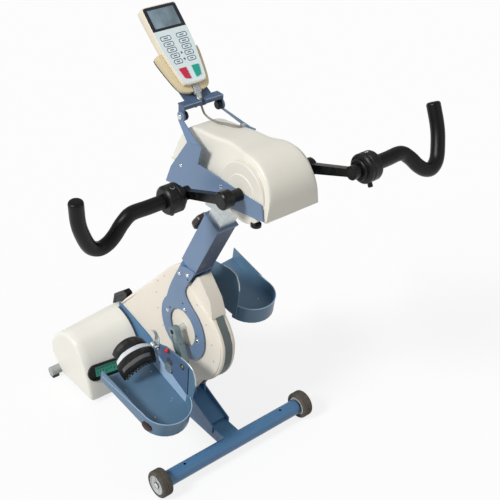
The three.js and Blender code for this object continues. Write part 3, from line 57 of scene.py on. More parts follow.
sides = ("left", "right")
joint_places = {joint["name"]: joint["pos_m"] for joint in frame["joints"] if "pos_m" in joint}


def at(x, y, z):
    return Matrix.Translation((x, y, z))


def turn(degrees, axis):
    return Matrix.Rotation(math.radians(degrees), 4, axis)


leg_y = -125.5
leg_z = 343
arm_y = -404
arm_z = 929
leg_centre = (leg_y, leg_z)
arm_centre = (arm_y, arm_z)
shift = joint_places["leg_spin"][1] / mm - leg_y
part = at(0, shift * mm, 0) @ Matrix.Scale(mm, 4)


def turned_frame(joint, pitch):
    """A frame in millimetres on a joint's axis, tilted about X."""
    _, y, z = joint_places[joint]
    return at(0, y, z) @ turn(pitch, "X") @ Matrix.Scale(mm, 4)


def placed(name, data):
    """A new object in the scene."""
    obj = bpy.data.objects.new(name, data)
    bpy.context.scene.collection.objects.link(obj)
    return obj


# Camera
camera_place = (-1.3492, -1.72734, 2.0832)
camera_azimuth = -41.7
camera_elevation = 34.0
camera_roll = 3.0
camera_lens = 71.54
sensor_width = 36


def add_camera():
    aim = turn(camera_azimuth, "Z") @ turn(90 - camera_elevation, "X") @ turn(camera_roll, "Z")
    camera = placed("camera", bpy.data.cameras.new("camera"))
    camera.matrix_world = at(*camera_place) @ aim
    camera.data.lens = camera_lens
    camera.data.sensor_width = sensor_width
    bpy.context.scene.camera = camera


add_camera()


# Colours and finishes
def linear(red, green, blue):
    """Screen colour, 0 to 255, as linear light."""
    def one(value):
        share = value / 255
        return share / 12.92 if share <= 0.04045 else ((share + 0.055) / 1.055) ** 2.4
    return one(red), one(green), one(blue)


coat_roughness = 0.2
spangle_scale = 130
pale_dust = (205, 200, 190)


def finish(name, colour, roughness, metallic=0.0, mottle=0.05, patch=9.0, grain=900.0, depth=0.06,
           dust=0.0, dust_colour=pale_dust, cells=0.0, coat=0.0, gloss=0.5):
    """A procedural finish: soft patches of colour, fine grain, dust and a varying gloss."""
    made = bpy.data.materials.new(name)
    made.use_nodes = True
    nodes, links = made.node_tree.nodes, made.node_tree.links
    shader = nodes["Principled BSDF"]
    for socket, value in (("Metallic", metallic), ("Coat Weight", coat), ("Coat Roughness", coat_roughness),
                          ("Specular IOR Level", gloss)):
        shader.inputs[socket].default_value = value
    where = nodes.new("ShaderNodeTexCoord").outputs["Object"]

    def texture(kind, scale):
        node = nodes.new(kind)
        node.inputs["Scale"].default_value = scale
        links.new(where, node.inputs["Vector"])
        return node

    def noise(scale, detail=3.0):
        node = texture("ShaderNodeTexNoise", scale)
        node.inputs["Detail"].default_value = detail
        return node.outputs["Fac"]

    def mixed(factor, low, high):
        """A mix of two colours, which are the node's sockets 6 and 7 and its output 2."""
        node = nodes.new("ShaderNodeMix")
        node.data_type = "RGBA"
        links.new(factor, node.inputs["Factor"])
        for socket, value in ((node.inputs[6], low), (node.inputs[7], high)):
            if isinstance(value, tuple):
                socket.default_value = (*value, 1)
            else:
                links.new(value, socket)
        return node.outputs[2]

    def ranged(value, from_low, from_high, low, high):
        node = nodes.new("ShaderNodeMapRange")
        links.new(value, node.inputs["Value"])
        for socket, number in zip(node.inputs[1:5], (from_low, from_high, low, high)):
            socket.default_value = number
        return node.outputs["Result"]

    base = linear(*colour)
    dark = tuple(v * (1 - mottle) for v in base)
    light = tuple(min(v * (1 + mottle), 1) for v in base)
    colour_now = mixed(ranged(noise(patch), 0.35, 0.65, 0, 1), dark, light)
    if cells:
        spangle = texture("ShaderNodeTexVoronoi", spangle_scale)
        shade = nodes.new("ShaderNodeSeparateColor")
        links.new(spangle.outputs["Color"], shade.inputs["Color"])
        bright = tuple(min(v * (1 + cells), 1) for v in base)
        colour_now = mixed(ranged(shade.outputs["Red"], 0, 1, 0, 0.7), colour_now, bright)
    if dust:
        specks = ranged(noise(patch * 7, 6.0), 0.5, 0.75, 0, dust)
        colour_now = mixed(specks, colour_now, linear(*dust_colour))
    links.new(colour_now, shader.inputs["Base Color"])
    rough = ranged(noise(patch * 4, 5.0), 0.3, 0.7, roughness * 0.85, min(roughness * 1.15, 1))
    links.new(rough, shader.inputs["Roughness"])
    bump = nodes.new("ShaderNodeBump")
    bump.inputs["Strength"].default_value = depth
    bump.inputs["Distance"].default_value = mm / 2
    links.new(noise(grain, 2.0), bump.inputs["Height"])
    links.new(bump.outputs["Normal"], shader.inputs["Normal"])
    return made


blue = finish("blue coat", (113, 137, 168), 0.4, mottle=0.03)
# A darker copy of the blue coat: painted shade on the column's front face
column_shade_blue = finish("painted shade on column front", (60, 76, 102), 0.42)
bracket_blue = finish("bracket coat", (78, 98, 130), 0.34, depth=0.05)
base_blue = finish("base blue coat", (74, 118, 158), 0.36, mottle=0.04)
shell = finish("shell blue coat", (90, 122, 148), 0.34, mottle=0.04, patch=10, depth=0.05)
# A lighter copy of the shell blue: painted highlight on lit folds, rims and edges
highlight_blue = finish("painted highlight blue", (158, 186, 212), 0.3, patch=14, depth=0.04)
shell_dark = finish("shaded shell plate", (80, 104, 136), 0.36, patch=14, depth=0.05)
# Near-black blue: painted shade in the slit at the inner plate's heel end, and round the wall bolt's seat
painted_shade_dark = finish("painted shade in slit and bolt seat", (22, 32, 48), 0.6, mottle=0.1, depth=0.05)
cream = finish("cream moulding", (238, 230, 216), 0.42, mottle=0.025, patch=5, dust=0.05)
white = finish("white moulding", (240, 238, 228), 0.4, mottle=0.02, patch=5, dust=0.05)
arm_cream = finish("arm moulding", (236, 232, 220), 0.36, mottle=0.02, patch=4, depth=0.05, dust=0.03)
handset_cream = finish("handset moulding", (238, 228, 208), 0.45, mottle=0.03, depth=0.1)
tan = finish("tan moulding", (226, 210, 170), 0.48, depth=0.12, dust=0.08)
keypad = finish("keypad film", (234, 247, 249), 0.4, mottle=0.02, depth=0.03)
black = finish("black moulding", (15, 16, 17), 0.38, mottle=0.2, depth=0.12, dust=0.03, gloss=0.3)
grip_black = finish("grip foam", (13, 14, 14), 0.36, mottle=0.2, grain=1800, depth=0.18, gloss=0.25)
satin_black = finish("satin black steel", (12, 13, 14), 0.3, mottle=0.15, dust=0.02, gloss=0.3)
knob_brown = finish("brown black moulding", (62, 52, 46), 0.35, mottle=0.25, depth=0.2, dust=0.15)
tyre_grey = finish("worn tyre", (76, 70, 62), 0.75, mottle=0.18, patch=30, grain=600, depth=0.5, dust=0.3,
                   dust_colour=(150, 140, 125))
hub_grey = finish("hub moulding", (186, 190, 190), 0.42, mottle=0.06, depth=0.1, dust=0.15)
grey = finish("grey moulding", (168, 172, 170), 0.45, mottle=0.06, depth=0.1)
zinc = finish("galvanised steel", (205, 212, 212), 0.34, metallic=0.75, mottle=0.08, cells=0.25)
chrome = finish("bright steel", (222, 224, 224), 0.18, metallic=1.0, mottle=0.04, depth=0.03)
crank_steel = finish("crank coat", (146, 164, 166), 0.3, metallic=0.45, mottle=0.08, patch=25, depth=0.08,
                     dust=0.1)
drum_coat = finish("drum band", (98, 110, 108), 0.55, mottle=0.08, patch=16, depth=0.15)
rubber = finish("black rubber", (20, 20, 20), 0.55, mottle=0.2, grain=1200, depth=0.3, dust=0.06)
band_white = finish("white woven label", (224, 229, 230), 0.6, mottle=0.06, patch=40, grain=2400, depth=0.4)
insert_grey = finish("grey insert", (120, 118, 116), 0.5, mottle=0.15, patch=40, depth=0.2)
red = finish("red key", (214, 42, 74), 0.3, mottle=0.06, depth=0.04, coat=0.3)
button_red = finish("red button", (222, 26, 34), 0.28, mottle=0.08, depth=0.04, coat=0.4)
green = finish("green key", (28, 172, 152), 0.3, mottle=0.06, depth=0.04, coat=0.3)
teal = finish("teal print", (64, 168, 142), 0.45, mottle=0.08, patch=30, depth=0.05)
teal_dark = finish("dark print", (20, 70, 62), 0.45, mottle=0.08, patch=30, depth=0.05)
lcd = finish("display glass", (128, 148, 160), 0.14, mottle=0.3, patch=22, grain=300, depth=0.01, coat=0.5)
bezel_black = finish("bezel film", (26, 33, 42), 0.3, mottle=0.1, depth=0.03, coat=0.2)
outline_ink = finish("key outline ink", (58, 88, 118), 0.45, mottle=0.1, depth=0.03)
cord_grey = finish("cord sheath", (142, 140, 132), 0.42, mottle=0.08, patch=60, depth=0.1)
brass = finish("brass", (168, 160, 96), 0.35, metallic=0.8, mottle=0.15, patch=60, depth=0.1)
# Slate grey: the foot wall's bearing, and painted shade along the rear housing's gap
slate_and_gap_shade = finish("slate bearing and painted gap shade", (72, 76, 86), 0.5, mottle=0.1, patch=30, depth=0.1)
disc_brown = finish("red brown plate", (52, 26, 24), 0.4, mottle=0.25, patch=60, depth=0.2, gloss=0.3)


# Shapes: lists of points in millimetres and of faces
def chaikin(points, rounds, closed=True):
    """Cuts the corners of an outline."""
    for _ in range(rounds):
        pairs = list(zip(points, points[1:] + points[:1])) if closed else list(zip(points, points[1:]))
        cut = []
        for a, b in pairs:
            cut.append(tuple(p * 0.75 + q * 0.25 for p, q in zip(a, b)))
            cut.append(tuple(p * 0.25 + q * 0.75 for p, q in zip(a, b)))
        points = cut if closed else [points[0], *cut[1:-1], points[-1]]
    return points


def inset(outline, wall):
    """The outline moved inward on every side."""
    after = outline[1:] + outline[:1]
    area = sum(here[0] * there[1] - there[0] * here[1] for here, there in zip(outline, after))
    side = 1 if area > 0 else -1
    drawn = []
    for i, point in enumerate(outline):
        here = Vector(point)
        a = (here - Vector(outline[i - 1])).normalized()
        b = (Vector(after[i]) - here).normalized()
        na, nb = Vector((-a.y * side, a.x * side)), Vector((-b.y * side, b.x * side))
        middle = (na + nb).normalized()
        drawn.append(tuple(here + middle * (wall / max(middle.dot(na), 0.25))))
    return drawn


def both_halves(half):
    """An outline of (x, y) from its right half."""
    return [*half, *[(-x, y) for x, y in reversed(half)]]


def arc(centre, radius, start, end, steps):
    """Points on a circle, from low on the first axis at 0 degrees to high on the second at 90."""
    angles = [math.radians(start + (end - start) * i / steps) for i in range(steps + 1)]
    return [(centre[0] - radius * math.cos(a), centre[1] + radius * math.sin(a)) for a in angles]


def quarter(steps):
    """Sine and cosine over a quarter turn."""
    angles = [math.pi / 2 * i / steps for i in range(steps + 1)]
    return [(math.sin(a), math.cos(a)) for a in angles]


def circle(count):
    """Cosine and sine round a whole turn."""
    return [(math.cos(tau * i / count), math.sin(tau * i / count)) for i in range(count)]


def smooth_path(points, steps):
    """A Catmull-Rom line through the points, with so many steps to each stretch."""
    spots = [Vector(p) for p in points]
    spots = [spots[0] * 2 - spots[1], *spots, spots[-1] * 2 - spots[-2]]
    line = []
    for a, b, c, d in zip(spots, spots[1:], spots[2:], spots[3:]):
        for i in range(steps):
            t = i / steps
            line.append((b * 2 + (c - a) * t + (a * 2 - b * 5 + c * 4 - d) * t ** 2
                         + (b * 3 - a - c * 3 + d) * t ** 3) / 2)
    return [*line, spots[-2]]


def heading(path, i):
    """The direction of a path at one of its points."""
    return (path[min(i + 1, len(path) - 1)] - path[max(i - 1, 0)]).normalized()


def lofted(rings, capped=(True, True), closed=True):
    count = len(rings[0])
    points = [tuple(p) for ring in rings for p in ring]
    faces = []
    for r in range(len(rings) - 1):
        for i in range(count if closed else count - 1):
            a, b = r * count + i, r * count + (i + 1) % count
            faces.append((a, b, b + count, a + count))
    if capped[0]:
        faces.append(tuple(range(count))[::-1])
    if capped[1]:
        faces.append(tuple(range((len(rings) - 1) * count, len(rings) * count)))
    return points, faces


def turned(profile, count=48, centre=(0, 0)):
    """A profile of (radius, along) turned about X; it starts and ends on the axis or closes on itself."""
    rings = [[(along, centre[0] + radius * c, centre[1] + radius * s) for c, s in circle(count)]
             for radius, along in profile if radius > 0]
    return lofted(rings, (profile[0][0] == 0, profile[-1][0] == 0))


def disc(radius, low, high, count, centre=(0, 0)):
    """A flat round plate on X."""
    return turned([(0, low), (radius, low), (radius, high), (0, high)], count, centre)


def dome(radius, height, start, centre=(0, 0), count=24):
    """A low domed head on X, from a place outward."""
    seat = start - 0.5
    rise = [(radius * c, start + height * (0.35 + 0.65 * s)) for s, c in quarter(5)[:-1]]
    top = [(radius * 0.12, start + height), (0, start + height)]
    return turned([(0, seat), (radius, seat), *rise, *top], count, centre)


def extruded(outline, x_from, x_to):
    """An outline of (y, z) drawn along X."""
    return lofted([[(x, y, z) for y, z in outline] for x in (x_from, x_to)])


def slab(outline, low, high):
    """An outline of (x, y) drawn upward."""
    return lofted([[(x, y, z) for x, y in outline] for z in (low, high)])


def block(low, high):
    (x0, y0, z0), (x1, y1, z1) = low, high
    return slab([(x0, y0), (x1, y0), (x1, y1), (x0, y1)], z0, z1)


def tube(path, radii, count=32):
    """A round tube along a path, with one radius to each point."""
    rings = []
    across = heading(path, 0).orthogonal().normalized()
    for i, (spot, radius) in enumerate(zip(path, radii)):
        ahead = heading(path, i)
        across = (across - ahead * across.dot(ahead)).normalized()
        other = ahead.cross(across)
        rings.append([spot + (across * c + other * s) * radius for c, s in circle(count)])
    return lofted(rings)


def joined(*shapes):
    points, faces = [], []
    for some_points, some_faces in shapes:
        start = len(points)
        points += some_points
        faces += [tuple(i + start for i in face) for face in some_faces]
    return points, faces


def moved(shape, matrix):
    return [tuple(matrix @ Vector(p)) for p in shape[0]], shape[1]


def mirrored(shape):
    return [(-x, y, z) for x, y, z in shape[0]], [face[::-1] for face in shape[1]]


def on_side(shape, side):
    """A shape drawn for the right, on the right or the left."""
    return mirrored(shape) if side == "left" else shape


# Pieces
def mesh_of(name, shape, matrix):
    points, faces = moved(shape, matrix)
    mesh = bpy.data.meshes.new(name)
    mesh.from_pydata(points, [], faces)
    work = bmesh.new()
    work.from_mesh(mesh)
    bmesh.ops.remove_doubles(work, verts=work.verts, dist=mm / 500)
    bmesh.ops.recalc_face_normals(work, faces=work.faces)
    work.to_mesh(mesh)
    work.free()
    return mesh


def shaded_smooth(obj):
    obj.data.polygons.foreach_set("use_smooth", [True] * len(obj.data.polygons))


def smoothed(obj, angle=35):
    """Smooth shading, with sharp edges where faces meet at more than the angle."""
    shaded_smooth(obj)
    obj.data.set_sharp_from_angle(angle=math.radians(angle))


def bevelled(obj, width, segments=3, angle=32):
    bevel = obj.modifiers.new("edges", "BEVEL")
    bevel.width = width * mm
    bevel.segments = segments
    bevel.limit_method = "ANGLE"
    bevel.angle_limit = math.radians(angle)
    obj.modifiers.new("shading", "WEIGHTED_NORMAL")


def piece(name, shape, coat, body, matrix=part, bevel=0.0, subdivide=0, thick=0.0, slot=None,
          stands_for=None, angle=35):
    """A new piece of the object, riding on a body."""
    obj = placed(name, mesh_of(name, shape, matrix))
    obj.data.materials.append(coat)
    smoothed(obj, angle)
    if thick:
        solid = obj.modifiers.new("wall", "SOLIDIFY")
        solid.thickness = thick * mm
        solid.offset = -1
    if bevel:
        bevelled(obj, bevel)
    if subdivide:
        round_off = obj.modifiers.new("round", "SUBSURF")
        round_off.levels = round_off.render_levels = subdivide
    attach(obj, body)
    if stands_for:
        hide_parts(stands_for)
    return obj


def sided(side, name, shape, coat, body, **more):
    """A piece on the left or the right, from a shape drawn for the right."""
    return piece(f"{name}_{side}", on_side(shape, side), coat, body, **more)


def carved(obj, matrix, *cutters):
    """Cuts shapes out of the piece for good."""
    for shape in cutters:
        tool = placed("cutter", mesh_of("cutter", shape, matrix))
        step = obj.modifiers.new("cut", "BOOLEAN")
        step.operation = "DIFFERENCE"
        step.object = tool
        step.solver = "EXACT"
        bpy.context.view_layer.update()
        result = bpy.data.meshes.new_from_object(obj.evaluated_get(bpy.context.evaluated_depsgraph_get()))
        obj.modifiers.clear()
        obj.data = result
        bpy.data.objects.remove(tool)
    smoothed(obj)


def dress(name, coat, bevel):
    """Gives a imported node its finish, soft edges and smooth shading."""
    node = frame["nodes"][name]
    node.data.materials.clear()
    node.data.materials.append(coat)
    shaded_smooth(node)
    weld = node.modifiers.new("weld", "WELD")
    weld.merge_threshold = mm / 100
    flat = node.modifiers.new("flats", "DECIMATE")
    flat.decimate_type = "DISSOLVE"
    flat.angle_limit = math.radians(0.6)
    bevelled(node, bevel, segments=2)


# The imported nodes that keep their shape, with their finish and soft edges; a star is left and right
kept = {
    "front_crossbar": (base_blue, 0.8), "base_frame": (base_blue, 0.9), "rear_floor_plate": (zinc, 0.4),
    "rear_cross_tube": (grey, 0.8), "rear_foot_*": (rubber, 1.0), "slot_bezel": (black, 0.8),
    "slot_label": (teal, 0.3), "mains_inlet": (black, 0.8), "rear_grip": (satin_black, 2.2),
    "leg_drum": (drum_coat, 1.2), "motor_pulley": (black, 0.8), "drive_belt": (drum_coat, 0.5),
    "leg_motor": (crank_steel, 1.0), "leg_hood": (cream, 2.0), "leg_axle": (zinc, 0.8),
    "leg_crank_*": (crank_steel, 0.8), "foot_shell_*": (shell, 1.1), "cuff_bracket": (chrome, 0.6),
    "outer_column": (blue, 1.3), "inner_column": (zinc, 1.0), "column_knob": (knob_brown, 1.5),
    "arm_motor": (crank_steel, 2.0), "arm_axle": (zinc, 0.8), "arm_plate_*": (blue, 0.8),
    "adjuster_foot": (black, 1.2), "arm_crank_*": (satin_black, 1.5), "handset_bracket": (bracket_blue, 0.9),
    "bracket_knob_*": (black, 1.0), "release_button": (button_red, 0.8), "wheel_*_axle": (black, 0.6),
}
for pattern, (coat, width) in kept.items():
    for node_name in sorted({pattern.replace("*", side) for side in sides}):
        dress(node_name, coat, width)

# Wheels
crossbar_y = -328.4
wheel_radius = 40
wheel_inner = 239.4
wheel_outer = 273.4
tyre_bore = 28.8
tyre_round = 7
# Points of (radius, place outward from the wheel's inner face)
groove = [(wheel_radius, 15.5), (wheel_radius - 1.2, 17), (wheel_radius, 18.5)]
hub_profile = [(6.4, 6), (28, 3), (28.6, 5), (28.6, 31), (27.8, 33), (25.5, 33), (24.6, 30.5), (13, 28.5),
               (12, 30), (6.4, 30), (6.4, 6)]


def wheel(side):
    width = wheel_outer - wheel_inner
    flank = [(tyre_bore, 2), (tyre_bore + 3, 0),
             *[(wheel_radius - tyre_round * (1 - s), tyre_round * (1 - c)) for s, c in quarter(6)]]
    tyre = [*flank, *groove, *[(r, width - x) for r, x in reversed(flank)], flank[0]]
    spoke = block((width - 7, 12, -1.6), (width - 3, 25, 1.6))
    spokes = joined(*[moved(spoke, turn(60 * i, "X")) for i in range(6)])
    centre = at(wheel_inner, crossbar_y, wheel_radius)
    bolt = moved(dome(8.5, 2.5, width - 3), centre)
    body = f"wheel_{side}"
    sided(side, "tyre", moved(turned(tyre, 72), centre), tyre_grey, body, slot="tyre_rubber",
          stands_for=f"{body}_tyre")
    sided(side, "hub", moved(turned(hub_profile, 56), centre), hub_grey, body, slot="grey_plastic",
          stands_for=f"{body}_hub")
    sided(side, "hub_ribs", moved(spokes, centre), hub_grey, body, bevel=0.5)
    sided(side, "wheel_bolt", bolt, chrome, "front_slider")


for side in sides:
    wheel(side)

# Rear housing
housing_end = [(81, 15), (93, 68), (119, 140), (154, 182), (180, 191), (233, 188), (291, 132), (306, 96),
               (303, 63), (245, 12)]
housing_middle = [(75, 15), (82, 80), (90, 152), (122, 193), (156, 214), (212, 224), (286, 160), (316, 110),
                  (316, 66), (252, 12)]
housing_half = 218
housing_inner = 36
housing_round = 10
housing_turns = 6
housing_steps = 9
# The gap in the housing's middle, where the leg covers stand
gap_half = 31.7
gap_end = 200.4
# Where the dark band of painted shade on the gap's rim ends
rim_foot = (200, 120)
slot_frame = at(-140, 92, 99) @ turn(-7, "Z") @ turn(-15, "X")


def oval(half, radius, front, rear):
    """A flat oval along X, drawn along Y."""
    left = arc((radius - half, 0), radius, 90, -90, 20)
    right = [(-x, -z) for x, z in left]
    return lofted([[(x, y, z) for x, z in (*left, *right)] for y in (front, rear)])


def rear_housing():
    end = chaikin(housing_end, 3, closed=False)
    middle = chaikin(housing_middle, 3, closed=False)
    straight = housing_half - housing_round - housing_inner
    places = [0, 12, 24, *[housing_inner + straight * i / housing_steps for i in range(housing_steps + 1)]]
    half = []
    for x in places:
        share = max(x - housing_inner, 0) / (housing_half - housing_inner)
        half.append([(x, m[0] + (e[0] - m[0]) * share, m[1] + (e[1] - m[1]) * share)
                     for m, e in zip(middle, end)])
    for s, c in quarter(housing_turns)[1:]:
        x = housing_half - housing_round * (1 - s)
        half.append([(x, y, z) for y, z in inset(end, housing_round * (1 - c))])
    rim = half[-1]
    rim_y, rim_z = (sum(p[axis] for p in rim) / len(rim) for axis in (1, 2))
    for scale in (0.8, 0.5):
        half.append([(housing_half, rim_y + (y - rim_y) * scale, rim_z + (z - rim_z) * scale)
                     for _, y, z in rim])
    rings = [[(-x, y, z) for x, y, z in ring] for ring in reversed(half[1:])] + half
    first = housing_turns + 2
    parts = [lofted(rings[:first + 1], (True, False)),
             lofted(rings[first:-first], (False, False), closed=False),
             lofted(rings[-first - 1:], (False, True))]
    body = piece("housing_shell", joined(*parts), white, "base", thick=3,
                 slot="white_plastic", stands_for="rear_housing")
    room = block((-gap_half, 0, -10), (gap_half, gap_end, 400))
    hole = moved(oval(72.4, 26.4, -12, 40), slot_frame)
    carved(body, part, room, hole)
    # A dark band along the gap's rim: painted shade of the gap between the housing and the frame wall
    lip = [(y, z) for y, z in middle if y < rim_foot[0]]
    lip = lip[next(i for i, (y, z) in enumerate(lip) if z > rim_foot[1]):]
    line, under = (inset([*lip, rim_foot], wall)[:-1] for wall in (-0.5, 3))
    edge = extruded([*line, *reversed(under)], gap_half + 0.2, gap_half + 6.8)
    piece("housing_gap_shade", joined(mirrored(edge), edge), slate_and_gap_shade, "base", bevel=0.4)


rear_housing()

slot_face = 4.5
label_half = 46
label_radius = 19.6
mark_width = 2.6
mark_pitch = 9


def slot_print():
    """Generic marks and black ends on the strip in the oval recess."""
    low, high = slot_face - 0.25, slot_face + 0.2
    marks = []
    for i in range(10):
        x = mark_pitch * i - 40
        tall = 9 if i % 3 == 0 else 5
        marks.append(block((x, low, -tall), (x + mark_width, high, 3 - tall / 3)))
    marks.append(block((-42, low, 8), (42, high, 9.4)))
    piece("slot_marks", moved(joined(*marks), slot_frame), teal_dark, "base", slot="teal_label")
    low, high = slot_face - 0.5, slot_face + 0.3
    cap = arc((-label_half, 0), label_radius, 90, -90, 20)
    end = lofted([[(x, y, z) for x, z in cap] for y in (low, high)])
    ledges = [block((-label_half, low, z), (label_half, high, z + 3.6)) for z in (-label_radius, 16)]
    ends = joined(end, mirrored(end), *ledges)
    piece("slot_ends", moved(ends, slot_frame), black, "base", slot="black_plastic")


slot_print()


def grip_web():
    """The dark panel that closes the opening of the rear grip."""
    web = [(199, 226), (201, 250.5), (247, 214.5), (258.5, 185), (250, 184), (212, 212)]
    piece("grip_web", extruded(web, -9.5, 9.5), satin_black, "base", bevel=0.6)


grip_web()

# A darker blue panel on the front of the leaning column, painted shade of that face, in the frame of the
# column's top
column_frame = part @ at(0, -267.4, 734.6) @ turn(27, "X")
column_face_half = 28.6


def column_shade_panel():
    face = block((-column_face_half, -0.5, -205), (column_face_half, 0.3, -7))
    piece("column_shade_panel", face, column_shade_blue, "base", column_frame, bevel=0.3, slot="blue_paint")


column_shade_panel()

# Leg covers, yokes and their small fasteners
cover_tail = [(-279, 393), (-261, 418), (-239, 440), (-149, 494), (-105, 546), (-58, 512), (14, 430),
              (197, 237), (197, 224)]
cover_web = [(149, 212.3), (89, 199.3), (46, 190.3)]
cover_skirt = (-150, 105.3)
cover_radius = 166
cover_inner = 13
cover_outer = 27
# Across the rim: the place outward, and how far in from the outline
cover_section = [(cover_inner, 0), (18.5, 0), (20.6, 0.5), (22, 1.6), (22.8, 3.2), (22.9, 4.6), (24.2, 5.1),
                 (25.6, 5.6), (26.5, 6.6), (cover_outer, 8.6)]
cover_screws = [(-32, 463), (-1, 429), (8, 383), (0, 332), (-25, 283), (-182, 452), (-223, 409), (-250, 357),
                (-259, 305)]
strip_half = 12.6
yoke_inner = 30.4
yoke_outer = 33.8
yoke_radius = 99
yoke_hole = 57
yoke_neck = [(-146, 449), (-133, 467), (-140, 491), (-175, 550), (-177, 558), (-117, 552), (-99, 521),
             (-66, 455)]
yoke_bolts = [(-148, 534), (-112, 520), (-58, 363), (-136, 411), (-195, 338)]
yoke_holes = [(-148, 519), (-127, 427), (-68, 378), (-190, 352)]


def leg_cover(side):
    rough = [*arc(leg_centre, cover_radius, -62, 8, 18), *cover_tail, *cover_web, cover_skirt]
    outline = chaikin(rough, 2)
    rings = [[(x, y, z) for y, z in inset(outline, margin)] for x, margin in cover_section]
    body = sided(side, "cover", lofted(rings, (False, True)), cream, "base", thick=2.5,
                 slot="cream_plastic", stands_for=f"leg_cover_{side}")
    carved(body, part, on_side(disc(10.8, 0, 40, 40, leg_centre), side))
    heads = joined(*[dome(2.6, 0.7, cover_outer - 0.1, spot, 14) for spot in cover_screws])
    sided(side, "cover_screws", heads, grey, "base")


def yoke(side):
    outline = chaikin([*yoke_neck, *arc(leg_centre, yoke_radius, 138, 424, 72)], 2)
    hole = arc(leg_centre, yoke_hole, 0, 360 * 63 / 64, 63)
    plate = sided(side, "yoke_plate", extruded(outline, yoke_inner, yoke_outer), blue, "base",
                  slot="blue_paint", stands_for=f"yoke_{side}")
    carved(plate, part, on_side(extruded(hole, 0, 80), side))
    bevelled(plate, 0.6, 2, 40)
    caps = joined(*[dome(6.6, 4.2, yoke_outer, spot) for spot in yoke_bolts])
    sided(side, "yoke_bolts", caps, chrome, "base", slot="zinc_steel")
    # Black discs over the yoke's holes: painted shade in the holes
    dark = joined(*[disc(3.1, yoke_outer - 1, yoke_outer + 0.15, 16, spot) for spot in yoke_holes])
    sided(side, "yoke_holes", dark, rubber, "base")


for side in sides:
    leg_cover(side)
    yoke(side)


def cover_strip():
    """The grey strip in the gap between the covers, under the hood."""
    line = [(-184.5, 166), *arc(leg_centre, cover_radius, -62, 8, 24), *cover_tail[:2], (-246, 440)]

    def drawn_in(depth):
        shares = [1 - depth / math.dist(spot, leg_centre) for spot in line]
        return [(leg_y + (y - leg_y) * share, leg_z + (z - leg_z) * share)
                for (y, z), share in zip(line, shares)]

    outline = [*drawn_in(0.9), *reversed(drawn_in(2.4))]
    piece("cover_strip", extruded(outline, -strip_half, strip_half), drum_coat, "base", bevel=0.3,
          slot="drum_green")


cover_strip()


def axle_caps():
    """The end caps of the crank axle."""
    cap = dome(11, 5, 66, leg_centre, 32)
    for side in sides:
        sided(side, "axle_cap", cap, black, "leg_drive", slot="black_plastic")


axle_caps()

# Foot shells: trim in the frame of each foot's pivot
wall_face = 109
sole_top = -57
foot_frames = {"left": turned_frame("foot_left_turn", 12.3), "right": turned_frame("foot_right_turn", 6.8)}
upright = turn(-90, "Y")
# The place on the sole and the radius of each rivet's head
sole_rivets = [(130, 48, 3.2), (226, 30, 1.7), (226, 22, 1.7), (133, -60, 1.9), (140, -66, 1.9),
               (210, -88, 3.2)]
# Outlines of (along, height) on the foot's inner wall
wall_highlight_band = [(76, -55.5), (70, 1), (-91, -27), (-96, -55.5)]
wall_panel = [(67, 3), (61, 33), (46, 43), (27, 55.5), (-4, 64), (-60, 78.5), (-71, 78.5), (-92, -25)]
wall_slit = [(-73, 76), (-76.5, 76), (-98, -52), (-94.5, -52)]
wall_crest = [(-36, 79), (-62, 85.2), (-78, 84.6), (-90, 81.2), (-104, 63.2), (-111, 40)]
hook_outline = [(54, 32), (53, 50), (58, 66), (70, 78), (84, 77), (95, 66), (93, 60), (84, 66), (76, 60),
                (75, 34)]
bead_radius = 72.6


def rivet(x, y, z, radius, height):
    """A domed rivet standing on a sole."""
    return moved(dome(radius, height, 0, count=18), at(x, y, z) @ upright)


def on_wall(outline, high, low=-0.2):
    """An outline laid on the foot's inner wall."""
    return extruded(outline, wall_face + low, wall_face + high)


def foot_trim(side):
    def trim(name, shape, coat, bevel=0.0):
        sided(side, name, shape, coat, f"foot_{side}", matrix=foot_frames[side], bevel=bevel)

    trim("sole_rivets", joined(*[rivet(x, u, sole_top, radius, 0.9) for x, u, radius in sole_rivets]), grey)
    washers = [rivet(x, u, sole_top - 0.2, 5.4, 0.5) for x, u, radius in sole_rivets if radius > 3]
    trim("sole_washers", joined(*washers), shell_dark)
    outer = at(249.4, -103, sole_top + 5) @ turn(-15, "Z")
    plate = turned([(0, -2), (17, -2), (17, 1.2), (15.5, 2), (0, 2)])
    trim("heel_disc", moved(plate, outer @ Matrix.Diagonal((1, 1, 0.86, 1))), disc_brown)
    # The lighter band on the wall's lower part is a painted highlight of a lit fold
    trim("wall_highlight_band", on_wall(wall_highlight_band, 0.6), highlight_blue, 0.25)
    trim("wall_panel", on_wall(wall_panel, 0.5), shell_dark, 0.25)
    # The slit and the bolt's seat are painted shade
    trim("wall_slit", on_wall(wall_slit, 0.7), painted_shade_dark)
    bearing = turned([(0, 0), (12.5, 0), (12.5, 1.6), (11, 2.6), (7, 2.6), (6, 1.6), (0, 1.6)], 40)
    trim("bearing", moved(bearing, at(wall_face, 2, 26)), slate_and_gap_shade)
    seat = at(wall_face, -50, 55)
    trim("wall_seat", moved(disc(9, 0, 0.9, 32), seat), painted_shade_dark)
    trim("wall_bolt", moved(dome(5.2, 2.6, 0), seat), brass)
    crest = smooth_path([(wall_face - 1.5, u, v) for u, v in wall_crest], 5)
    trim("wall_crest", tube(crest, [1.7] * len(crest), 12), zinc)
    # A thin bead along the rim's rounded top edge, in the lighter blue: a painted highlight
    bead = [Vector((x, u, sole_top + 38)) for x, u in arc((179, -84), bead_radius, 180, 345, 22)]
    bead.insert(0, Vector((265, 92, sole_top + 18.4)))
    trim("rim_highlight_bead", tube(bead, [1.3] * len(bead), 10), highlight_blue)
    if side == "left":
        hook = mirrored(on_wall(hook_outline, 3.6, 1.2))
        piece("cuff_hook", hook, zinc, "foot_left", foot_frames["left"], bevel=0.6)


for side in sides:
    foot_trim(side)

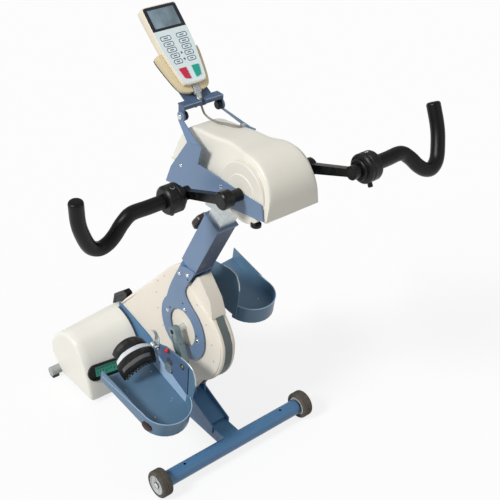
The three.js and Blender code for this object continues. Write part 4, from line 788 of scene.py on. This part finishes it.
# Instep cuff: strap, its woven label, grey insert, ribs and the domed pad
cuff_thickness = 6
# Each section's place along the foot, and its points of (x, height over the sole)
cuff_sections = [
    (46, [(119, 50), (133, 53), (156, 58), (176, 55), (190, 46), (211, 38), (223, 22)]),
    (68, [(118, 77), (134, 84), (155, 91), (177, 92), (197, 89), (216, 79), (236, 56)]),
    (86, [(116, 70), (132, 85), (152, 96), (171, 100), (191, 97), (213, 89), (228, 62)]),
]
cuff_columns = 6
pad_from = 86.3
pad_length = 26
pad_thickness = 28
pad_arch = [(125, 70), (140, 86), (158, 98), (180, 104), (200, 100), (214, 88), (223, 69)]


def cuff_surface():
    """Rows of points over the cuff, from its heel edge to its toe edge."""
    return [smooth_path([(x, u, v + sole_top) for x, v in points], cuff_columns)
            for u, points in cuff_sections]


def cuff_row(lines, u):
    """The cuff's section at one place along the foot, on parabolas through the three sections."""
    places = [place for place, _ in cuff_sections]
    weights = [math.prod((u - other) / (place - other) for other in places if other != place)
               for place in places]
    row = []
    for spots in zip(*lines):
        x, z = (sum(spot[axis] * weight for spot, weight in zip(spots, weights)) for axis in (0, 2))
        row.append(Vector((x, u, z)))
    return row


def raised(row, height):
    """The row moved out of the cuff's surface."""
    runs = [heading(row, i) for i in range(len(row))]
    return [spot + Vector((-run.z, 0, run.x)) * height for spot, run in zip(row, runs)]


def band(lines, u_from, u_to, low, high, start=0.0, end=1.0, steps=8):
    """A band of the cuff between two places, with its underside and top at given heights."""
    rings = []
    for i in range(steps + 1):
        row = cuff_row(lines, u_from + (u_to - u_from) * i / steps)
        first, last = round(start * (len(row) - 1)), round(end * (len(row) - 1))
        top = raised(row, high)[first:last + 1]
        under = raised(row, low)[first:last + 1]
        rings.append([*top, *reversed(under)])
    return lofted(rings)


def on_cuff(name, shape, coat, bevel, **more):
    """A piece of the left foot's cuff, from a shape drawn for the right."""
    return piece(name, mirrored(shape), coat, "instep_cuff", foot_frames["left"], bevel, **more)


def instep_cuff():
    lines = cuff_surface()
    heel, toe = cuff_sections[0][0], cuff_sections[-1][0]
    strap = band(lines, heel, toe, -cuff_thickness, 0, steps=10)
    on_cuff("cuff_band", strap, rubber, 1.2, slot="cuff_rubber", stands_for="instep_strap")
    eye = moved(disc(6.3, -7, 7, 28), at(122, 68, 35) @ turn(90, "Z"))
    on_cuff("cuff_eye", eye, zinc, 0.8, slot="zinc_steel")
    on_cuff("cuff_label", band(lines, 73.5, 85.2, -0.4, 1.2, 0.04, 0.97), band_white, 0.3)
    on_cuff("cuff_insert", band(lines, 53.5, 59.5, -0.5, 1.2, 0.2, 0.93), insert_grey, 0.4)
    row = cuff_row(lines, heel)
    tooth = block((-3, -4.6, -6.4), (3, 3, 0.8))
    teeth = []
    for i in range(3, len(row) - 2, 3):
        run = heading(row, i)
        tilt = -math.degrees(math.atan2(run.z, run.x))
        teeth.append(moved(tooth, at(*row[i]) @ turn(tilt, "Y")))
    on_cuff("cuff_ribs", joined(*teeth), rubber, 0.9)


def instep_pad():
    """The domed pad: superellipses along an arch, thinner at its inner end."""
    curve = smooth_path([(x, 0, v + sole_top) for x, v in pad_arch], 6)
    middle = pad_from + pad_length / 2
    rings = []
    for i, centre in enumerate(curve):
        share = min(max(i / (len(curve) - 1), 0.02), 0.98)
        swell = (0.4 + 0.6 * math.sqrt(math.sin(math.pi * share))) * (0.6 + 0.4 * min(share * 1.8, 1))
        ahead = heading(curve, i)
        ring = []
        for c, s in circle(28):
            across = pad_length / 2 * math.copysign(abs(c) ** 0.7, c) * (0.8 + 0.2 * swell)
            out = pad_thickness / 2 * math.copysign(abs(s) ** 0.8, s) * swell
            ring.append((centre.x - ahead.z * out, middle + across, centre.z + ahead.x * out))
        rings.append(ring)
    pad = on_cuff("cuff_pad", lofted(rings), rubber, 0, subdivide=1, slot="cuff_rubber",
                  stands_for="instep_pad")


instep_cuff()
instep_pad()

# Arm housing
arm_radius = 90
arm_low = 893
arm_half = 80
arm_top_half = 64
arm_corner = 9
# Along the tail: the place, half the width above and below, and the heights of the top and the lower edge
arm_stations = [
    (-386, 61, 79, 1018, 893), (-368, 55.5, 77, 1015, 892), (-350, 51, 74, 1013, 891),
    (-326, 48.5, 69, 1012, 890), (-300, 48, 65, 1010, 889), (-250, 48, 60, 1001, 886),
    (-215, 47, 57, 997, 884), (-178, 46, 55, 991, 880), (-152, 44.5, 53, 978, 877),
    (-135, 43.5, 52, 963, 876), (-112, 42, 50, 925, 874), (-94, 40, 47, 890, 872)]


def arm_ring(y, top, foot, high, low):
    """One section of the arm housing, open below."""
    rise = high - low
    corner = min(arm_corner, rise / 3)
    half = [(foot + (top - foot) * i / 6, low + (rise - corner) * i / 6) for i in range(6)]
    half += [(top - corner * (1 - c), high - corner * (1 - s)) for s, c in quarter(5)]
    half += [((top - corner) * share, high) for share in (2 / 3, 1 / 3)]
    return [*[(x, y, z) for x, z in half], (0, y, high), *[(-x, y, z) for x, z in reversed(half)]]


def arm_housing():
    taper = (arm_half - arm_top_half) / (arm_z + arm_radius - arm_low)
    rings = []
    for s, c in quarter(18):
        high = arm_z + arm_radius * s
        top = arm_half - taper * (high - arm_low)
        rings.append(arm_ring(arm_y - arm_radius * c, top, arm_half, high, arm_low))
    stations = [(arm_y, arm_top_half, arm_half, arm_z + arm_radius, arm_low), *arm_stations]
    widths = smooth_path([(y, top, foot) for y, top, foot, _, _ in stations], 4)
    heights = smooth_path([(y, high, low) for y, _, _, high, low in stations], 4)
    for (y, top, foot), (_, high, low) in zip(widths[1:], heights[1:]):
        rings.append(arm_ring(y, top, foot, high, low))
    piece("arm_shell", lofted(rings, closed=False), arm_cream, "arm_unit", thick=3,
          slot="cream_plastic", stands_for="arm_housing", angle=50)
    outer = turned([(0, 66), (75, 66), (75, 76.8), (73.6, 78.2), (0, 78.2)], 96, arm_centre)
    inner = turned([(0, 66), (46, 66), (46, 79), (44.6, 80.2), (0, 80.2)], 72, arm_centre)
    for side in sides:
        sided(side, "arm_disc", joined(outer, inner), arm_cream, "arm_unit", bevel=0.8, angle=30)
    screws = joined(*[dome(5, 2.6, 83.6, spot) for spot in ((-182, 902), (-336, 916))])
    for side in sides:
        sided(side, "arm_screws", screws, chrome, "arm_unit", slot="zinc_steel")


arm_housing()

# Grips and clamps
grip_radius = 17.8
grip_round = 7
grip_path = [(190.3, 0), (235, 0), (280, 0), (305, -18), (325, -43), (345, -59), (368, -63), (392, -47),
             (410, -8), (420, 30), (424, 80)]
grip_pitch = {"left": 3, "right": -28}
clamp_inner = 138
clamp_radius = 36
# Points of (radius, place outward from the clamp's inner end)
clamp_profile = [(0, 0), (24, 0), (26, 2), (26, 9), (33, 10), (clamp_radius, 13), (clamp_radius, 20),
                 (34.6, 21), (34.6, 23.5), (clamp_radius, 24.5), (clamp_radius, 44), (34, 48), (29, 52),
                 (0, 52)]


def grip(side):
    """A foam grip, its clamp with a stud below, and the screw in the clamp's well."""
    body = f"handgrip_{side}"
    matrix = turned_frame(f"{body}_turn", grip_pitch[side])
    path = smooth_path([(x, 0, z) for x, z in grip_path], 6)
    tip, ahead = path[-1], heading(path, len(path) - 1)
    radii = [grip_radius] * len(path)
    for s, c in quarter(6)[1:]:
        path.append(tip + ahead * grip_round * s)
        radii.append(grip_radius - grip_round * (1 - c))
    sided(side, "grip_sleeve", tube(path, radii), grip_black, body, matrix=matrix, slot="grip_foam",
          stands_for=f"grip_{side}")
    barrel = turned([(r, clamp_inner + x) for r, x in clamp_profile], 64)
    stud = moved(turned([(0, -3), (6, -3), (6, 10), (5, 11), (0, 11)], 24),
                 at(164, 0, -clamp_radius) @ turn(90, "Y"))
    sided(side, "clamp_body", joined(barrel, stud), black, body, matrix=matrix, bevel=0.5,
          slot="black_plastic", stands_for=f"clamp_{side}")
    well = moved(turned([(0, -4), (6.4, -4), (6.4, 0.2), (5.2, 0.5), (5.2, -1.5), (0, -1.5)], 32),
                 at(170, -6, clamp_radius - 0.6) @ upright)
    sided(side, "clamp_screw", well, chrome, body, matrix=matrix)


for side in sides:
    grip(side)

# Handset on its slope: X across, Y up the slope and Z out of its face
slope = 42.93
slope_place = (0, 35, 1214)
handset_frame = part @ at(*slope_place) @ turn(slope, "X")
# Points of (x, distance down the slope)
handset_outline = [(46, 0), (50, 4), (50, 115), (43, 160), (36, 205), (30, 214)]
face_high = 13
head_low = -17
tail_low = -7
print_low = face_high + 0.2
print_high = face_high + 0.4
key_rows = (88, 104, 119.5, 135.5, 151.5)


def on_handset(name, shape, coat, body="handset", **more):
    """A piece in the handset's frame."""
    return piece(name, shape, coat, body, handset_frame, **more)


def handset_ring(shrink, high, rise=0.0):
    """The handset's outline drawn in by a margin, at one height or rising toward its lower end."""
    outline = chaikin(both_halves([(x, -s) for x, s in handset_outline]), 1)
    length = handset_outline[-1][1]
    return [(x, y, high - rise * y / length) for x, y in chaikin(inset(outline, shrink), 1)]


def key_outline(x, y, half_x):
    """A rounded frame printed round a key."""
    half_y, corner, line = 6.2, 4.4, 1.8
    outer, inner = [], []
    for step, (side_x, side_y) in enumerate(((1, 1), (-1, 1), (-1, -1), (1, -1))):
        centre_x, centre_y = x + (half_x - corner) * side_x, y + (half_y - corner) * side_y
        for i in range(5):
            a = math.pi / 2 * (step + i / 4)
            for points, radius in ((outer, corner), (inner, corner - line)):
                points.append((centre_x + radius * math.cos(a), centre_y + radius * math.sin(a)))
    low, high = print_low, print_high + 0.02
    order = ((inner, low), (inner, high), (outer, high), (outer, low), (inner, low))
    return lofted([[(px, py, z) for px, py in points] for points, z in order], (False, False))


def handset():
    rise = tail_low - head_low
    levels = [(4, head_low, rise), (1.2, head_low + 1.5, rise), (0.2, head_low + 4, rise), (0, 1.6),
              (0.7, 2.0), (0.7, 2.8), (0, 3.2), (0, face_high - 2), (0.4, face_high - 0.9),
              (1.1, face_high - 0.2), (1.8, face_high)]
    on_handset("handset_case", lofted([handset_ring(*level) for level in levels]), handset_cream,
               slot="cream_plastic", stands_for="handset_body", angle=50)
    film = both_halves([(48, -67.4), (48, -115), (41, -159), (34, -202), (26, -209.5)])
    on_handset("keypad_film", slab(film, face_high - 0.2, face_high + 0.25), keypad)
    bezel = both_halves([(40, -3), (46, -4.5), (48.2, -9), (48.2, -67)])
    on_handset("bezel_film", slab(bezel, face_high - 0.2, face_high + 0.3), bezel_black, slot="black_plastic")
    window = both_halves([(38, -11), (38, -60.5)])
    on_handset("display_window", slab(window, face_high - 1.5, face_high + 0.55), lcd, bevel=0.3,
               slot="lcd_glass", stands_for="handset_screen")


def key_print():
    """The printed frames of the keys, and a generic bar or arrow in each."""
    outlines = []
    marks = []
    for i, row in enumerate(key_rows):
        for sign in (-1, 1):
            column = sign * (23.4 - i * 0.9)
            half = 15.4 - i * 0.8
            outlines.append(key_outline(column, -row, half))
            marks.append(block((column - half * 0.4, -row - 1.2, print_low),
                               (column + half * 0.4, -row + 1.2, print_high)))
    for row, tip in ((132, 4.5), (149, -4.5)):
        arrow = [(-3.6, -row - tip / 2), (3.6, -row - tip / 2), (0, -row + tip)]
        marks.append(slab(arrow, print_low, print_high))
    on_handset("key_outlines", joined(*outlines), outline_ink)
    on_handset("key_marks", joined(*marks), outline_ink)


def large_keys():
    outline = [(8, -169.5), (28.5, -169.5), (29.4, -171), (24.4, -194), (22.6, -196.6), (9, -200.4),
               (7.6, -199)]
    shape = slab(outline, face_high - 1.5, face_high + 2.1)
    for name, side, coat, old, slot in (("stop_key", "left", red, "key_stop", "red_plastic"),
                                        ("start_key", "right", green, "key_start", "green_plastic")):
        on_handset(name, on_side(shape, side), coat, old, bevel=0.9, slot=slot, stands_for=old)


handset()
key_print()
large_keys()

# The tray that holds the handset's lower half, open for the plug
cradle_outline = [(59, 117), (60.5, 124), (60, 138), (53, 182), (47, 208), (40, 222), (28, 229.5), (13, 230)]
cradle_rim = 3
cradle_slope_length = 115


def cradle_ring(shrink, share, head=-24.5, fall=16):
    """The tray's outline at a share of the way from its sloping underside to its rim."""
    outline = inset(chaikin(both_halves([(x, -s) for x, s in cradle_outline]), 2), shrink)
    start = cradle_outline[0][1]
    ring = []
    for x, y in outline:
        under = head + (-y - start) * fall / cradle_slope_length
        ring.append((x, y, under + share * (cradle_rim - under)))
    return ring


def lowered(ring, drop):
    return [(x, y, z - drop) for x, y, z in ring]


def cradle():
    levels = ((4.5, 0), (1.4, 0.05), (0, 0.16), (0, 0.86), (0.8, 0.96), (2.4, 1))
    body = on_handset("cradle_tray", lofted([cradle_ring(*level) for level in levels]), tan, "tilt_bracket",
                      slot="tan_plastic", stands_for="cradle")
    room = lofted([handset_ring(-0.8, head_low - 0.6, tail_low - head_low), handset_ring(-0.8, 20)])
    notch = block((-11, -240, -11), (11, -210, 10))
    carved(body, handset_frame, room, notch)
    smoothed(body, 40)
    plate = lofted([lowered(cradle_ring(1.6, 0), drop) for drop in (3, 0.2)])
    foot = lofted([cradle_ring(16, 0, -37, 28), lowered(cradle_ring(16, 0), 2.5)])
    on_handset("cradle_plate", joined(plate, foot), bezel_black, "tilt_bracket")


def bracket_trim():
    """The bracket's back on both sides of the cord, a painted highlight along its front top edge, and the
    bolts of its ears.
    """
    fold = [(-139.2, 1017), (-136.5, 1017), (-136.5, 1040.2), (-139.2, 1040.2)]
    lip = [(-139.2, 1039.9), (-133.2, 1048.6), (-133.2, 1051.8), (-139.2, 1043)]
    back = [extruded(fold, -9, -3.8), extruded(lip, -6.7, -3.8), extruded(fold, 5.6, 25)]
    piece("bracket_back", joined(*back), bracket_blue, "tilt_bracket", bevel=0.3)
    # A thin strip of painted highlight along the bracket's front top edge
    edge = block((7, -161.6, 1041.7), (59.5, -160.5, 1043.4))
    piece("bracket_highlight", joined(edge, mirrored(edge)), highlight_blue, "tilt_bracket", bevel=0.3)
    bolt = dome(7.6, 5, 63.6, (-152, 1014), 28)
    for side in sides:
        sided(side, "ear_bolt", bolt, chrome, f"bracket_knob_{side}", slot="zinc_steel")


cradle()
bracket_trim()

# The handset's plug and cord
cord_radius = 2.6
cord_route = [(0, -148.4, 1042.6), (0.4, -147.8, 1034), (1, -151, 1023), (2, -162, 1007), (4, -183, 1001),
              (7, -210, 1003), (11, -237, 1009), (18, -255, 1010), (26, -262, 1008), (31, -263, 1007),
              (36, -263, 1007)]


def plug():
    """The plug's shell with its latch, and the ribbed boot behind it."""
    head = block((-9, -236, -5.4), (9, -214.8, 5.4))
    latch = [block((-7.6, -219.4 - i * 4.2, 5), (7.6, -217 - i * 4.2, 6.4)) for i in range(4)]
    ribs = [(0, 0), (8, 0)]
    for i in range(5):
        rib, neck = 7.6 - i * 0.7, 5.6 - i * 0.4
        ribs += [(rib, i * 3), (rib - 0.2, i * 3 + 1.8), (neck, i * 3 + 2), (neck, i * 3 + 2.9)]
    ribs.append((0, 15))
    down = at(0, -235.8, 0) @ turn(-90, "Z")
    return [on_handset("plug_shell", joined(head, *latch), hub_grey, bevel=0.7, slot="grey_plastic",
                       stands_for="cord_plug"),
            on_handset("plug_boot", moved(turned(ribs, 32), down), hub_grey)]


def handset_cord(plug_pieces):
    path = [part @ p for p in smooth_path(cord_route, 6)]
    curve = bpy.data.curves.new("cord", "CURVE")
    curve.dimensions = "3D"
    curve.bevel_depth = cord_radius * mm
    curve.bevel_resolution = 5
    curve.use_fill_caps = True
    spline = curve.splines.new("POLY")
    spline.points.add(len(path) - 1)
    for point, spot in zip(spline.points, path):
        point.co = (*spot, 1)
    cord = placed("cord", curve)
    curve.materials.append(cord_grey)
    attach(cord, "arm_unit")
    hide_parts("handset_cord")


def cord_gland():
    gland = turned([(0, 36.4), (5, 36.4), (5, 44), (4, 46.5), (0, 46.5)], 28, (-263, 1007))
    piece("cord_gland", gland, grey, "arm_unit", bevel=0.5)


handset_cord(plug())
cord_gland()

# Floor, world and lights
floor_half = 12
floor_matte = 0.42
floor_pale = 0.95
floor_glow_share = 0.82
world_strength = 0.42
key_light = ((-0.76, 0.04, 0.64), 2.36, 16)
fill_light = ((0.4, -0.8, 0.4), 0.22, 40)


def seen_by(nodes, links, *rays):
    """One for two kinds of ray, and nought for the others."""
    path = nodes.new("ShaderNodeLightPath")
    either = nodes.new("ShaderNodeMath")
    either.operation = "MAXIMUM"
    for ray, socket in zip(rays, either.inputs):
        links.new(path.outputs[f"Is {ray} Ray"], socket)
    return either.outputs[0]


def floor():
    """A matte grey floor, which the camera and glossy finishes see as a pale one."""
    corners = ((-1, -1), (1, -1), (1, 1), (-1, 1))
    mesh = bpy.data.meshes.new("floor")
    mesh.from_pydata([(x * floor_half, y * floor_half, 0) for x, y in corners], [], [(0, 1, 2, 3)])
    coat = bpy.data.materials.new("floor")
    coat.use_nodes = True
    nodes, links = coat.node_tree.nodes, coat.node_tree.links
    nodes.clear()
    matte, pale = (nodes.new("ShaderNodeBsdfDiffuse") for _ in range(2))
    for node, shade in ((matte, floor_matte), (pale, floor_pale)):
        node.inputs["Color"].default_value = (shade, shade, shade, 1)
    seen, whole = (nodes.new("ShaderNodeMixShader") for _ in range(2))
    seen.inputs["Fac"].default_value = floor_glow_share
    links.new(seen_by(nodes, links, "Camera", "Glossy"), whole.inputs["Fac"])
    for mix, low, high in ((seen, pale, nodes.new("ShaderNodeEmission")), (whole, matte, seen)):
        links.new(low.outputs[0], mix.inputs[1])
        links.new(high.outputs[0], mix.inputs[2])
    links.new(whole.outputs[0], nodes.new("ShaderNodeOutputMaterial").inputs["Surface"])
    mesh.materials.append(coat)
    placed("floor", mesh)


def world():
    """A white sky that the camera sees at full strength and the object at less."""
    sky = bpy.data.worlds.new("studio")
    bpy.context.scene.world = sky
    sky.use_nodes = True
    nodes, links = sky.node_tree.nodes, sky.node_tree.links
    background = nodes["Background"]
    background.inputs["Color"].default_value = (1, 1, 1, 1)
    level = nodes.new("ShaderNodeMapRange")
    links.new(seen_by(nodes, links, "Camera", "Transmission"), level.inputs["Value"])
    level.inputs["To Min"].default_value = world_strength
    level.inputs["To Max"].default_value = 1.0
    links.new(level.outputs["Result"], background.inputs["Strength"])


def sun(name, direction, strength, softness):
    light = bpy.data.lights.new(name, "SUN")
    light.energy = strength
    light.angle = math.radians(softness)
    lamp = placed(name, light)
    lamp.rotation_mode = "QUATERNION"
    lamp.rotation_quaternion = Vector(direction).to_track_quat("Z", "Y")


floor()
world()
sun("key", *key_light)
sun("fill", *fill_light)
bpy.context.scene.view_settings.view_transform = "Standard"
